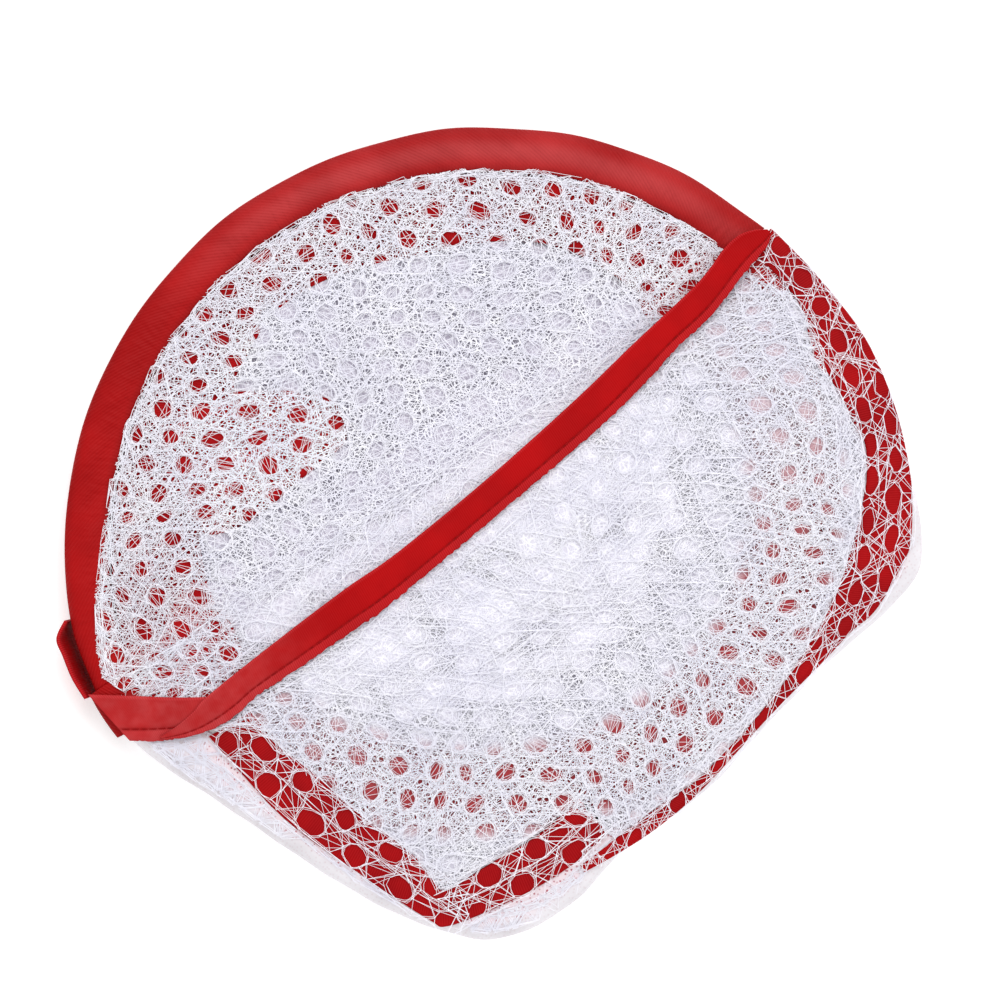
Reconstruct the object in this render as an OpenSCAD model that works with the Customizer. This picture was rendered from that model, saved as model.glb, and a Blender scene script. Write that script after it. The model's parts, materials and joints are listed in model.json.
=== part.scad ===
// Pop-up goal net, twisted shut: a sprung wire hoop in a sewn casing, wound three times into a flat pack,
// with its folded net panels, hem tapes and ground tape. The pack lies on its underside, in millimetres.
// The fold line joins the two places where the turns of the hoop cross. Each turn is two half-turns,
// one on either side of that line, and the half-turns on the open side lift about it like pages.

/* [Folded hoop] */
// Outer radius of the casing on the open side of the pack
coil_outer_r = 127.7; // [120:0.1:140]
// Distance from the fold line to the centre of that arc
coil_set_back = 33; // [25:1:40]
// Distance from the fold line to the centre of the closed side's arcs
closed_set_back = 3; // [0:1:8]
// Distance from the fold line to the centre of the inner turn's arc on the open side
inner_set_back = 14; // [8:1:22]
// How far the inner turns lie inside the outer ones at the fold line
inner_inset = 26; // [22:1:32]
// Turn of the fold line from the X axis, in degrees
fold_angle = 34.6; // [0:0.1:60]
// Clearance between the half-turns at the fold line
fold_gap = 0.3; // [0.2:0.1:1]

/* [Wire and casing] */
// Diameter of the spring wire
wire_d = 2.4; // [1.6:0.1:3]
// Clearance round the wire in its casing
wire_clear = 0.3; // [0.2:0.1:0.5]
// Width of the casing, laid flat
casing_w = 13.5; // [12:0.5:16]
// Thickness of the casing over the wire
casing_t = 4.2; // [4:0.1:6]
// Thickness of the sewn seam on the casing's inner edge
seam_t = 1.2; // [0.8:0.1:2]
// Distance of the wire from the middle of the casing's width, towards the outer edge
wire_shift = 1.6; // [0:0.1:2.5]
// Length of the crimped ferrule that joins the wire's ends
ferrule_l = 24; // [16:1:40]
// Wall of the ferrule
ferrule_wall = 0.5; // [0.3:0.05:0.6]

/* [Net] */
// Thickness of a net panel
net_t = 0.8; // [0.6:0.1:1.2]
// Distance from one mesh gap to the next
mesh_pitch = 16.5; // [16:0.5:24]
// Width across the corners of a mesh gap
mesh_gap = 13; // [8:0.5:14]
// Solid border between the gaps and a panel's edge
mesh_border = 2.5; // [1.5:0.5:5]
// Turn of the mesh from the X axis, in degrees
mesh_angle = -4; // [-30:1:30]
// Clearance between a panel and what it lies on
layer_gap = 0.3; // [0.2:0.1:0.4]

/* [Tapes] */
// Width of the ground tape
tape_w = 12; // [8:0.5:16]
// Thickness of the ground tape
tape_t = 1; // [0.8:0.1:1.6]
// Width of the hem tapes
hem_w = 11.5; // [8:0.5:13]
// Thickness of a hem tape
hem_t = 0.8; // [0.6:0.1:1.2]
// Depth of the stitched groove along the ground tape's flange
groove_d = 0.4; // [0.2:0.1:0.6]
// Width of that groove
groove_w = 1; // [0.6:0.1:1.6]
// Thickness of the keeper ribbon
keeper_t = 1.2; // [0.8:0.1:2]

/* [Hidden] */
$fn = 96;

// Middle of the fold line
fold_mid = [-19, 21.6];
// Larger than the pack, for cutting it at the fold line
reach = 400;

// The turns cross the fold line at these distances from its middle
coil_r = coil_outer_r - casing_w / 2;
outer_u = sqrt(coil_r * coil_r - coil_set_back * coil_set_back);
inner_u = outer_u - inner_inset;

// Heights of the turns where they cross the fold line. Two turns cross in mid-span on the closed side,
// where each has come 0.44 of the rise towards the other, so the rise is a little over two casings.
turn_rise = 2.3 * casing_t;
low_z = net_t + layer_gap + casing_t / 2;
high_z = low_z + turn_rise;
mid_z = (low_z + high_z) / 2;

// Heights of the layers on top of the closed side
hoop_top = high_z + casing_t / 2;
hem_z = hoop_top + layer_gap;
front_net_z = hem_z + max(hem_t, net_t) + layer_gap;
tape_z = front_net_z + net_t + layer_gap;

// Centre of the open side's outer arc
coil_centre = fold_mid + coil_set_back * [sin(fold_angle), -cos(fold_angle)];
// Angle at which that arc meets the fold line, seen from its centre
coil_dip = asin(coil_set_back / coil_r);

// Edge of the closed side, from the upper crossing round to the lower one
closed_edge = [
    [86, 92], [99, 78.3], [113, 60.3], [122, 40.2], [127, 20.1], [130.2, -1], [128, -13.5],
    [117.6, -25.2], [101.7, -39.3], [84.6, -56.4], [65, -77.7], [41, -94.8], [27, -109.8],
    [13, -118.8], [-3, -122.1], [-23, -116.7], [-43, -106.8], [-79, -82.8], [-104, -65.7], [-121, -48]
];
// Edge of the tightly packed folds, which the hem tapes run round
packed_edge = [
    [81.6, 84], [94, 66], [102, 46], [111, 27], [111.6, 9.6], [106, -11], [100, -25.5], [85, -48],
    [70, -65.5], [54, -77], [33, -80], [21, -84.5], [0, -98], [-14.4, -106.8], [-48, -87.3],
    [-67.5, -71], [-80.4, -60], [-100, -51], [-110, -43]
];
// Middle lines of the tapes
right_hem_line = [
    [80, 84.5], [94, 73], [107, 55.5], [115.5, 37], [120, 19], [120.5, 1], [114, -14],
    [103, -26], [92, -38], [77, -54.5], [59.5, -73], [43, -86]
];
front_hem_left = [[-82.8, -60.9], [-71.4, -71.4], [-52.5, -88.2], [-34.5, -100.6], [-15, -112.2]];
front_hem_right = [[-15, -112.2], [0, -105.3], [18, -95.1], [31.2, -87.6]];
ground_line = [[77.5, 86], [46.8, 52.5], [29.7, 36], [3.6, 12.6], [-23.7, -10.2], [-39.9, -21.6],
    [-59.7, -36.3], [-79.8, -51.3]];
corner_line = [[-115, -56], [-99, -55], [-79.8, -51.3]];
// Each point of the keeper ribbon: its angle round the coil, and how far it stands outside the rim
keeper_stand = [[189.2, 0.95], [191.3, 4.2], [193.6, 3.5], [196.8, 2.6], [199.9, 0.95]];
keeper_line = [for (k = keeper_stand) coil_centre + (coil_outer_r + k[1]) * [cos(k[0]), sin(k[0])]];

// --- Plane geometry ---

// A smooth curve through the points of a line
function spline_point(a, b, c, d, t) =
    0.5 * (2 * b + (c - a) * t + (2 * a - 5 * b + 4 * c - d) * t * t + (3 * b - a - 3 * c + d) * t * t * t);
function smooth(p, steps = 4) = [
    for (i = [0:len(p) - 2]) for (k = [0:steps - 1])
        spline_point(p[max(i - 1, 0)], p[i], p[i + 1], p[min(i + 2, len(p) - 1)], k / steps),
    p[len(p) - 1]
];
function arc_points(centre, r, from, to, n) =
    [for (i = [0:n]) centre + r * [cos(from + (to - from) * i / n), sin(from + (to - from) * i / n)]];
function unit(v) = v / norm(v);
// Left-hand normal of a line at its point i
function normal(p, i) =
    let (d = unit(p[min(i + 1, len(p) - 1)] - p[max(i - 1, 0)])) [-d[1], d[0]];
// Outline of the strip between two distances to the left of a line
function strip(p, from, to) = concat(
    [for (i = [0:len(p) - 1]) p[i] + to * normal(p, i)],
    [for (i = [len(p) - 1:-1:0]) p[i] + from * normal(p, i)]
);
function segment_distance(p, a, b) =
    let (s = b - a, t = max(0, min(1, ((p - a) * s) / (s * s)))) norm(p - a - t * s);
function edge_distance(p, o) =
    min([for (i = [0:len(o) - 1]) segment_distance(p, o[i], o[(i + 1) % len(o)])]);
function is_inside(p, o) = len([
    for (i = [0:len(o) - 1]) let (a = o[i], b = o[(i + 1) % len(o)])
        if ((a[1] > p[1]) != (b[1] > p[1]) && p[0] < (b[0] - a[0]) * (p[1] - a[1]) / (b[1] - a[1]) + a[0]) 1
]) % 2 == 1;
// Signed distance from the fold line, positive on the open side
function fold_side(p) = (p - fold_mid) * [-sin(fold_angle), cos(fold_angle)];

// Centres of the mesh gaps that a panel has room for, on the given side of the fold line or on both (0)
function mesh_centres(outline, side) =
    let (room = mesh_gap / 2 + mesh_border, n = ceil(coil_outer_r * 1.2 / mesh_pitch))
    [
        for (j = [-n:n]) for (i = [-n:n])
            let (
                x = mesh_pitch * (i + (j % 2 == 0 ? 0 : 0.5)),
                y = mesh_pitch * j * sqrt(3) / 2,
                p = [x * cos(mesh_angle) - y * sin(mesh_angle), x * sin(mesh_angle) + y * cos(mesh_angle)]
            )
            if ((side == 0 || side * fold_side(p) > room) && is_inside(p, outline)
                && edge_distance(p, outline) > room) p
    ];

// --- Shared forms ---

module on_fold_line() translate(fold_mid) rotate([0, 0, fold_angle]) children();

// Keeps what lies on one side of the fold line: 1 is the open side, -1 the closed side
module beside_fold(side) {
    intersection() {
        children();
        on_fold_line()
            translate([-reach / 2, side > 0 ? fold_gap / 2 : -reach - fold_gap / 2, -reach / 2])
                cube([reach, reach, reach]);
    }
}

// Section of the casing: rounded over the wire, thinning to the sewn seam on its inner edge
function casing_half(s) =
    let (outer = casing_w / 2 - wire_shift, inner = casing_w / 2 + wire_shift)
    s > wire_shift
        ? casing_t / 2 * sqrt(max(0, 1 - pow((s - wire_shift) / outer, 2)))
        : seam_t / 2 + (casing_t - seam_t) / 2 * pow(cos(90 * (wire_shift - s) / inner), 1.3);
casing_steps = 12;
function casing_station(i) =
    i <= casing_steps
        ? -casing_w / 2 + (casing_w / 2 + wire_shift) * i / casing_steps
        : wire_shift + (casing_w / 2 - wire_shift) * sin(90 * (i - casing_steps) / casing_steps);
function casing_profile() = concat(
    [for (i = [0:2 * casing_steps]) [casing_station(i), casing_half(casing_station(i))]],
    [for (i = [2 * casing_steps - 1:-1:0]) [casing_station(i), -casing_half(casing_station(i))]]
);

module casing_section(r) {
    translate([r, 0]) difference() {
        polygon(casing_profile());
        translate([wire_shift, 0]) circle(d = wire_d + 2 * wire_clear);
    }
}

module wire_section(r, d) translate([r + wire_shift, 0]) circle(d = d);

// One half-turn of the hoop: a circular arc from the fold line back to it, on one side. It leaves the line
// at left_u and returns at right_u, and climbs evenly between those heights, so its plane is tilted.
module half_turn(side, left_u, right_u, left_z, right_z, set_back) {
    half = (right_u - left_u) / 2;
    r = sqrt(half * half + set_back * set_back);
    dip = asin(set_back / r);
    overrun = 5;
    beside_fold(side) on_fold_line()
        translate([(left_u + right_u) / 2, 0, (left_z + right_z) / 2])
            rotate([0, -atan((right_z - left_z) / (right_u - left_u)), 0])
                mirror([0, side > 0 ? 0 : 1, 0])
                    translate([0, -set_back, 0])
                        rotate([0, 0, dip - overrun])
                            rotate_extrude(angle = 180 - 2 * dip + 2 * overrun)
                                if ($children > 0) translate([r, 0]) children();
}

module casing_half_turn(side, left_u, right_u, left_z, right_z, set_back)
    half_turn(side, left_u, right_u, left_z, right_z, set_back) casing_section(0);

module wire_half_turn(side, left_u, right_u, left_z, right_z, set_back)
    half_turn(side, left_u, right_u, left_z, right_z, set_back) wire_section(0, wire_d);

// A flat panel of the given outline, with mesh gaps
module mesh_panel(outline, side, z) {
    translate([0, 0, z]) linear_extrude(net_t) difference() {
        polygon(outline);
        for (p = mesh_centres(outline, side))
            translate(p) rotate(mesh_angle + 30) circle(d = mesh_gap, $fn = 6);
    }
}

module strip_of_tape(line, width, thickness, z)
    translate([0, 0, z]) linear_extrude(thickness) polygon(strip(smooth(line), -width / 2, width / 2));

// --- Outlines ---

// Arc inside the open side's casing, from the lower crossing to the upper one
function open_arc(r) =
    let (dip = asin(coil_set_back / r))
    arc_points(coil_centre, r, fold_angle + 180 - dip, fold_angle + dip, 48);
// Outline of a panel that reaches the casing's seam on the open side
seam_r = coil_r - casing_w / 2 - 0.1;
open_outline = open_arc(seam_r);
pack_outline = concat(smooth(closed_edge, 3), open_arc(coil_outer_r - 1));
packed_outline = smooth(packed_edge, 3);
// Clear space inside the closed side's turns
well_r = inner_u - casing_w / 2 - 0.5;
function well_arc() = arc_points(fold_mid, well_r, fold_angle, fold_angle - 180, 36);

// --- The hoop's ferrule sits on the lower turn, midway along the open side ---

module ferrule_arc(d, extra) {
    span = (ferrule_l + extra) / coil_r * 180 / PI;
    translate([coil_centre[0], coil_centre[1], low_z]) rotate([0, 0, fold_angle + 90 - span / 2])
        rotate_extrude(angle = span) wire_section(coil_r, d);
}

ferrule_d = wire_d + 2 * ferrule_wall + 0.2;

// --- Root: what lies still ---

module base_net() color("white") mesh_panel(pack_outline, 0, 0);

module lower_net() color("white") translate([0, 0, low_z - net_t / 2]) linear_extrude(net_t)
    polygon(concat(open_outline, well_arc()));

module lower_casing() color("firebrick") difference() {
    casing_half_turn(1, -outer_u, outer_u, low_z, low_z, coil_set_back);
    ferrule_arc(ferrule_d + 2 * wire_clear, 2);
}

module lower_wire() color("silver")
    wire_half_turn(1, -outer_u, outer_u, low_z, low_z, coil_set_back);

module wire_ferrule() color("lightgray") difference() {
    ferrule_arc(ferrule_d, 0);
    ferrule_arc(wire_d + 0.2, 2);
}

// From the upper crossing's top turn down to the inner turn at the lower crossing
module rising_casing() color("firebrick")
    casing_half_turn(-1, -inner_u, outer_u, mid_z, high_z, -closed_set_back);

module rising_wire() color("silver")
    wire_half_turn(-1, -inner_u, outer_u, mid_z, high_z, -closed_set_back);

// From the inner turn at the upper crossing down to the lower crossing's bottom turn
module inner_casing() color("firebrick")
    casing_half_turn(-1, -outer_u, inner_u, low_z, mid_z, -closed_set_back);

module inner_wire() color("silver")
    wire_half_turn(-1, -outer_u, inner_u, low_z, mid_z, -closed_set_back);

// From the upper crossing's bottom turn up to the lower crossing's top turn, outside the other two
module outer_casing() color("firebrick")
    casing_half_turn(-1, -outer_u, outer_u, high_z, low_z, -closed_set_back);

module outer_wire() color("silver")
    wire_half_turn(-1, -outer_u, outer_u, high_z, low_z, -closed_set_back);

module packed_net() color("white") beside_fold(-1) difference() {
    translate([0, 0, hem_z]) linear_extrude(net_t) polygon(packed_outline);
    for (line = [right_hem_line, front_hem_left, front_hem_right])
        strip_of_tape(line, hem_w + 2 * layer_gap, 4 * hem_t, hem_z - hem_t);
}

module right_hem_tape() color("firebrick") beside_fold(-1)
    strip_of_tape(right_hem_line, hem_w, hem_t, hem_z);

module front_hem_tape() color("firebrick") {
    strip_of_tape(front_hem_left, hem_w, hem_t, hem_z);
    strip_of_tape(front_hem_right, hem_w, hem_t, hem_z);
}

module front_net() color("white") beside_fold(-1)
    mesh_panel(pack_outline, -1, front_net_z);

// The tape crosses the pack, then turns back along the rim at the lower crossing
module ground_tape() color("firebrick") beside_fold(-1) difference() {
    union() {
        strip_of_tape(ground_line, tape_w, tape_t, tape_z);
        strip_of_tape(corner_line, tape_w, tape_t, tape_z);
    }
    translate([0, 0, tape_z + tape_t - groove_d]) linear_extrude(tape_t)
        polygon(strip(smooth(ground_line), tape_w / 4, tape_w / 4 + groove_w));
}

module keeper_ribbon() color("firebrick")
    translate([0, 0, layer_gap]) linear_extrude(hoop_top - layer_gap)
        polygon(strip(smooth(keeper_line), -keeper_t / 2, keeper_t / 2));

// --- Middle leaf: the inner turn's open half and the folds of net that it carries ---

module middle_casing() color("firebrick")
    casing_half_turn(1, -inner_u, inner_u, mid_z, mid_z, inner_set_back);

module middle_wire() color("silver")
    wire_half_turn(1, -inner_u, inner_u, mid_z, mid_z, inner_set_back);

module middle_net() {
    r = sqrt(inner_u * inner_u + inner_set_back * inner_set_back) - casing_w / 2 - 0.1;
    color("white") beside_fold(1) on_fold_line()
        translate([0, -inner_set_back, mid_z - net_t / 2]) linear_extrude(net_t) circle(r = r);
}

// --- Top leaf: the uppermost half-turn with the net sewn to its seam ---

module top_casing() color("firebrick")
    casing_half_turn(1, -outer_u, outer_u, high_z, high_z, coil_set_back);

module top_wire() color("silver")
    wire_half_turn(1, -outer_u, outer_u, high_z, high_z, coil_set_back);

module top_net() color("white") beside_fold(1)
    mesh_panel(open_outline, 1, high_z - net_t / 2);

echo(gaps = [len(mesh_centres(pack_outline, 0)), len(mesh_centres(pack_outline, -1)),
    len(mesh_centres(open_outline, 1))]);

base_net();
lower_net();
lower_casing();
lower_wire();
wire_ferrule();
rising_casing();
rising_wire();
inner_casing();
inner_wire();
outer_casing();
outer_wire();
packed_net();
right_hem_tape();
front_hem_tape();
front_net();
ground_tape();
keeper_ribbon();
middle_casing();
middle_wire();
middle_net();
top_casing();
top_wire();
top_net();
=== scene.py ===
"""Dresses the twist-folded goal net: sprung hoop in its red casing, knitted mesh, hem tapes and ground tape.

Sizes are in millimetres in the tables below and become metres where they are used. Every piece lies in the
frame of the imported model: X to the right, Y away from the front, Z up.
"""

import json
import math

import bpy
import numpy as np
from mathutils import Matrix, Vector


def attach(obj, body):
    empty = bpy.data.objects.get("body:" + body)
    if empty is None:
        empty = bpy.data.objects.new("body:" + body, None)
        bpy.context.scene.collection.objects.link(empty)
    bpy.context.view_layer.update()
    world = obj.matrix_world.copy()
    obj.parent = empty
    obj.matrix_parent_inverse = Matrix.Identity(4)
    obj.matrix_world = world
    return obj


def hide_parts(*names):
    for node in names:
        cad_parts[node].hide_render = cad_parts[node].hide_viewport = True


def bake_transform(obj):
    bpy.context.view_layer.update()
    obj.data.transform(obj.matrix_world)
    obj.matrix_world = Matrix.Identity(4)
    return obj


MM = 0.001

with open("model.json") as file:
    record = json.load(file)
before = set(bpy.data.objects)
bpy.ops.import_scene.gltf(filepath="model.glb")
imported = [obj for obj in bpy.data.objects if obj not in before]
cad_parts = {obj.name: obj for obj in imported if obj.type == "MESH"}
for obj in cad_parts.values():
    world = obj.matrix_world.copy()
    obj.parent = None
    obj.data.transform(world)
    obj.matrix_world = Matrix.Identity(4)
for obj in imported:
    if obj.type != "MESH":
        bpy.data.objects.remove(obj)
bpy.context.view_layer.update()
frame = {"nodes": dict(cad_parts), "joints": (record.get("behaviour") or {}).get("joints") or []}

# ---------------------------------------------------------------- the fold line and the hoop's turns

leaf_joint = next(j for j in frame["joints"] if j["name"] == "top_leaf_lift")
FOLD_MID = np.array(leaf_joint["pos_m"][:2]) / MM
FOLD_DIR = np.array(leaf_joint["axis"][:2])
FOLD_OUT = np.array([-FOLD_DIR[1], FOLD_DIR[0]])  # towards the side whose turns lift

WIRE_R, WIRE_SHIFT = 1.2, 1.6  # the wire, and how far it lies outside the middle of the casing
CASING_W, CASING_T, SEAM_T = 13.5, 4.2, 1.2
COIL_R = 120.95
COIL_SET_BACK, CLOSED_SET_BACK, INNER_SET_BACK = 33.0, -3.0, 14.0  # centres of the arcs, from the fold line
OUTER_U = math.sqrt(COIL_R ** 2 - COIL_SET_BACK ** 2)  # the outer turns' crossings, along the fold line
INNER_U = OUTER_U - 26.0
LOW_Z, MID_Z, HIGH_Z = 3.2, 8.03, 12.86  # the three turns' heights at the fold line
HEM_Z, CORNER_Z, TAPE_Z = 15.26, 16.5, 17.46  # undersides of the tapes
YARN = 0.14
YARN_COVER, GROUND_COVER, FULL_COVER = 0.42, 0.8, 1.0  # the share of a panel that its yarns or sheet fill
COIL_CENTRE = FOLD_MID - COIL_SET_BACK * FOLD_OUT
FOLD_DEG = math.degrees(math.atan2(FOLD_DIR[1], FOLD_DIR[0]))


# ---------------------------------------------------------------- lines and outlines

def smooth(points, steps):
    """A Catmull-Rom line through the points."""
    p = np.asarray(points, float)
    ends = np.vstack([p[0], p, p[-1]])
    t = (np.arange(steps) / steps)[:, None]
    line = [0.5 * (2 * b + (c - a) * t + (2 * a - 5 * b + 4 * c - d) * t ** 2
                   + (3 * b - a - 3 * c + d) * t ** 3)
            for a, b, c, d in zip(ends[:-3], ends[1:-2], ends[2:-1], ends[3:])]
    return np.vstack(line + [p[-1:]])


def ray(angle):
    """Unit arrows at angles in radians."""
    return np.stack([np.cos(angle), np.sin(angle)], -1)


def arc(centre, radius, start, end, count):
    return centre + radius * ray(np.radians(np.linspace(start, end, count)))


def paired(first, second):
    """Two arrays as pairs of coordinates, each spread over the shape of the other."""
    return np.stack(np.broadcast_arrays(first, second), -1)


def lengths(line):
    return np.concatenate([[0], np.cumsum(np.linalg.norm(np.diff(line, axis=0), axis=1))])


def at(line, distance):
    """Points of a line at distances from its start."""
    run = lengths(line)
    return np.column_stack([np.interp(distance, run, line[:, k]) for k in range(line.shape[1])])


def resample(line, count):
    return at(line, np.linspace(0, lengths(line)[-1], count))


def left_of(line):
    """Unit normals to the left of a line."""
    d = np.gradient(line, axis=0)
    d /= np.linalg.norm(d, axis=1)[:, None] + 1e-12
    return np.column_stack([-d[:, 1], d[:, 0]])


def inside(points, outline):
    x, y = points[..., 0][..., None], points[..., 1][..., None]
    a, b = outline, np.roll(outline, -1, axis=0)
    spans = (a[:, 1] > y) != (b[:, 1] > y)
    slope = (b[:, 0] - a[:, 0]) / np.where(np.abs(b[:, 1] - a[:, 1]) < 1e-9, 1e-9, b[:, 1] - a[:, 1])
    return (spans & (x < slope * (y - a[:, 1]) + a[:, 0])).sum(-1) % 2 == 1


def fold_side(points):
    """Distance from the fold line, positive on the side that lifts."""
    return (np.asarray(points)[..., :2] - FOLD_MID) @ FOLD_OUT


def soft_step(share):
    """From 0 to 1 as the share does, level at both ends."""
    share = np.clip(share, 0, 1)
    return share * share * (3 - 2 * share)


def ripple(xy, scale, seed, waves=7):
    """Smooth noise of about unit size over the plane: a sum of long waves in different directions."""
    r = np.random.default_rng(seed)
    total = 0.0
    for _ in range(waves):
        turn, phase, size = r.uniform(0, 2 * math.pi), r.uniform(0, 2 * math.pi), scale * r.uniform(0.7, 1.6)
        total = total + np.sin((xy[..., 0] * math.cos(turn) + xy[..., 1] * math.sin(turn)) * 2 * math.pi / size
                               + phase)
    return total / math.sqrt(waves / 2)


# Edge of the closed side, from the upper crossing round to the lower one
CLOSED_EDGE = [[86, 92], [99, 78.3], [113, 60.3], [122, 40.2], [127, 20.1], [130.2, -1], [128, -13.5], [117.6, -25.2],
    [101.7, -39.3], [84.6, -56.4], [65, -77.7], [41, -94.8], [27, -109.8], [13, -118.8], [-3, -122.1], [-23, -116.7],
    [-43, -106.8], [-79, -82.8], [-104, -65.7], [-121, -48]]
PACKED_EDGE = [[81.6, 84], [94, 66], [102, 46], [111, 27], [111.6, 9.6], [106, -11], [100, -25.5], [85, -48],
    [70, -65.5], [61.5, -73], [51.5, -80.5], [42.5, -87], [37, -90.5], [33, -87], [28, -80], [21, -84.5], [0, -98],
    [-13.4, -107.2], [-17.2, -103.6], [-26.2, -93.5], [-37.9, -85.1], [-51.4, -73], [-63.5, -63.4], [-71.5, -56.5],
    [-82, -57], [-96, -55.5], [-107, -52], [-113.5, -48.5], [-114.5, -46]]
CLOSED_LINE, PACKED_LINE = smooth(CLOSED_EDGE, 6), smooth(PACKED_EDGE, 5)


def open_span(radius):
    """Angles, in radians, at which a circle about the rim's centre meets the fold line: lower crossing, then upper."""
    dip = math.asin(COIL_SET_BACK / radius)
    return math.radians(FOLD_DEG + 180) - dip, math.radians(FOLD_DEG) + dip


def open_arc(radius):
    return COIL_CENTRE + radius * ray(np.linspace(*open_span(radius), 90))


# ---------------------------------------------------------------- nodes and objects

def add_node(tree, kind, settings=None, sockets=None):
    """Adds a node with its settings; a socket takes a constant or is joined to another's output."""
    made = tree.nodes.new(kind)
    for key, value in (settings or {}).items():
        setattr(made, key, value)
    for key, value in (sockets or {}).items():
        if isinstance(value, bpy.types.NodeSocket):
            tree.links.new(value, made.inputs[key])
        else:
            made.inputs[key].default_value = value
    return made.outputs


def add_object(name, data):
    obj = bpy.data.objects.new(name, data)
    bpy.context.scene.collection.objects.link(obj)
    return obj


# ---------------------------------------------------------------- finishes

class Value:
    """A shader socket that takes part in Python arithmetic; every step adds its Math node."""

    def __init__(self, finish, socket):
        self.finish, self.socket = finish, socket

    def _do(self, operation, *terms):
        return self.finish.node("ShaderNodeMath", {"operation": operation}, dict(enumerate(terms))).out()

    def __add__(self, other): return self._do("ADD", self, other)
    def __radd__(self, other): return self._do("ADD", other, self)
    def __sub__(self, other): return self._do("SUBTRACT", self, other)
    def __rsub__(self, other): return self._do("SUBTRACT", other, self)
    def __mul__(self, other): return self._do("MULTIPLY", self, other)
    def __rmul__(self, other): return self._do("MULTIPLY", other, self)
    def wave(self): return self._do("SINE", self)
    def size(self): return self._do("ABSOLUTE", self)
    def over(self, other): return self._do("MAXIMUM", self, other)

    def step(self, low, high):
        """0 below low and 1 above high, with a soft step between."""
        return self.finish.node("ShaderNodeMapRange", {"interpolation_type": "SMOOTHSTEP"},
                                {"Value": self, "From Min": low, "From Max": high}).out("Result")


class Made:
    """A node just made, whose outputs can be taken by name or number."""

    def __init__(self, finish, outputs):
        self.finish, self.outputs = finish, outputs

    def out(self, name=0):
        return Value(self.finish, self.outputs[name])


class Finish:
    """One material, built from nodes."""

    def __init__(self, name):
        self.material = bpy.data.materials.new(name)
        self.material.use_nodes = True
        self.material.node_tree.nodes.clear()

    def node(self, kind, settings=None, sockets=None):
        """Adds a node; a socket takes a constant or another node's value."""
        sockets = {key: value.socket if isinstance(value, Value) else value for key, value in (sockets or {}).items()}
        return Made(self, add_node(self.material.node_tree, kind, settings, sockets))

    def place(self):
        return self.node("ShaderNodeTexCoord").out("Object")

    def plane(self, place):
        """X and Y of a place."""
        parts = self.node("ShaderNodeSeparateXYZ", None, {0: place})
        return parts.out(0), parts.out(1)

    def flat_place(self, x, y):
        return self.node("ShaderNodeCombineXYZ", None, {0: x, 1: y}).out()

    def cloth_map(self):
        """Metres along and across the piece, from its UV map."""
        return self.plane(self.node("ShaderNodeUVMap", {"uv_map": "cloth"}).out())

    def noise(self, place, scale, detail=2.0):
        return self.node("ShaderNodeTexNoise", None, {"Vector": place, "Scale": scale, "Detail": detail}).out("Fac")

    def ribs(self, along, pitch, wander=0.0):
        """Ribs from 0 to 1, pitch metres apart."""
        return (along * (2 * math.pi / pitch) + wander).wave() * 0.5 + 0.5

    def fine_yarns(self, place, laps, width):
        """1 on fine yarns that cross and 0 between them. laps lists (scale, turn, stretch), and width gives the two
        distances between which a yarn of that scale fades."""
        threads = None
        for scale, turn, stretch in laps:
            turned = self.node("ShaderNodeMapping", {"vector_type": "TEXTURE"}, {
                "Vector": place, "Rotation": (0, 0, turn), "Scale": (stretch, 1.0, 1.0)}).out()
            edge = self.node("ShaderNodeTexVoronoi", {"voronoi_dimensions": "2D", "feature": "DISTANCE_TO_EDGE"},
                             {"Vector": turned, "Scale": scale}).out("Distance")
            yarn = 1.0 - edge.step(*width(scale))
            threads = yarn if threads is None else threads.over(yarn)
        return threads

    def mix(self, share, first, second):
        """From the first colour to the second. A colour is a value or three numbers for the screen, 0 to 255."""
        first, second = (colour(*c) if isinstance(c, tuple) else c for c in (first, second))
        return self.node("ShaderNodeMix", {"data_type": "RGBA"}, {0: share, 6: first, 7: second}).out(2)

    def bump(self, height, distance, strength, under=None):
        sockets = {"Height": height, "Distance": distance, "Strength": strength}
        if under is not None:
            sockets["Normal"] = under
        return self.node("ShaderNodeBump", None, sockets).out()

    def shader(self, **sockets):
        named = {key.replace("_", " "): value for key, value in sockets.items()}
        return self.node("ShaderNodeBsdfPrincipled", None, named).out()

    def surface(self, shader=None, **sockets):
        """Ends the finish with a shader, or with the principled one that the sockets describe."""
        self.node("ShaderNodeOutputMaterial", None, {"Surface": shader or self.shader(**sockets)})
        return self.material


def colour(red, green, blue):
    """A colour written as it looks on a screen, 0 to 255, as the light value a shader takes."""
    def line(c):
        c /= 255
        return c / 12.92 if c <= 0.04045 else ((c + 0.055) / 1.055) ** 2.4
    return line(red), line(green), line(blue), 1.0


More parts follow.
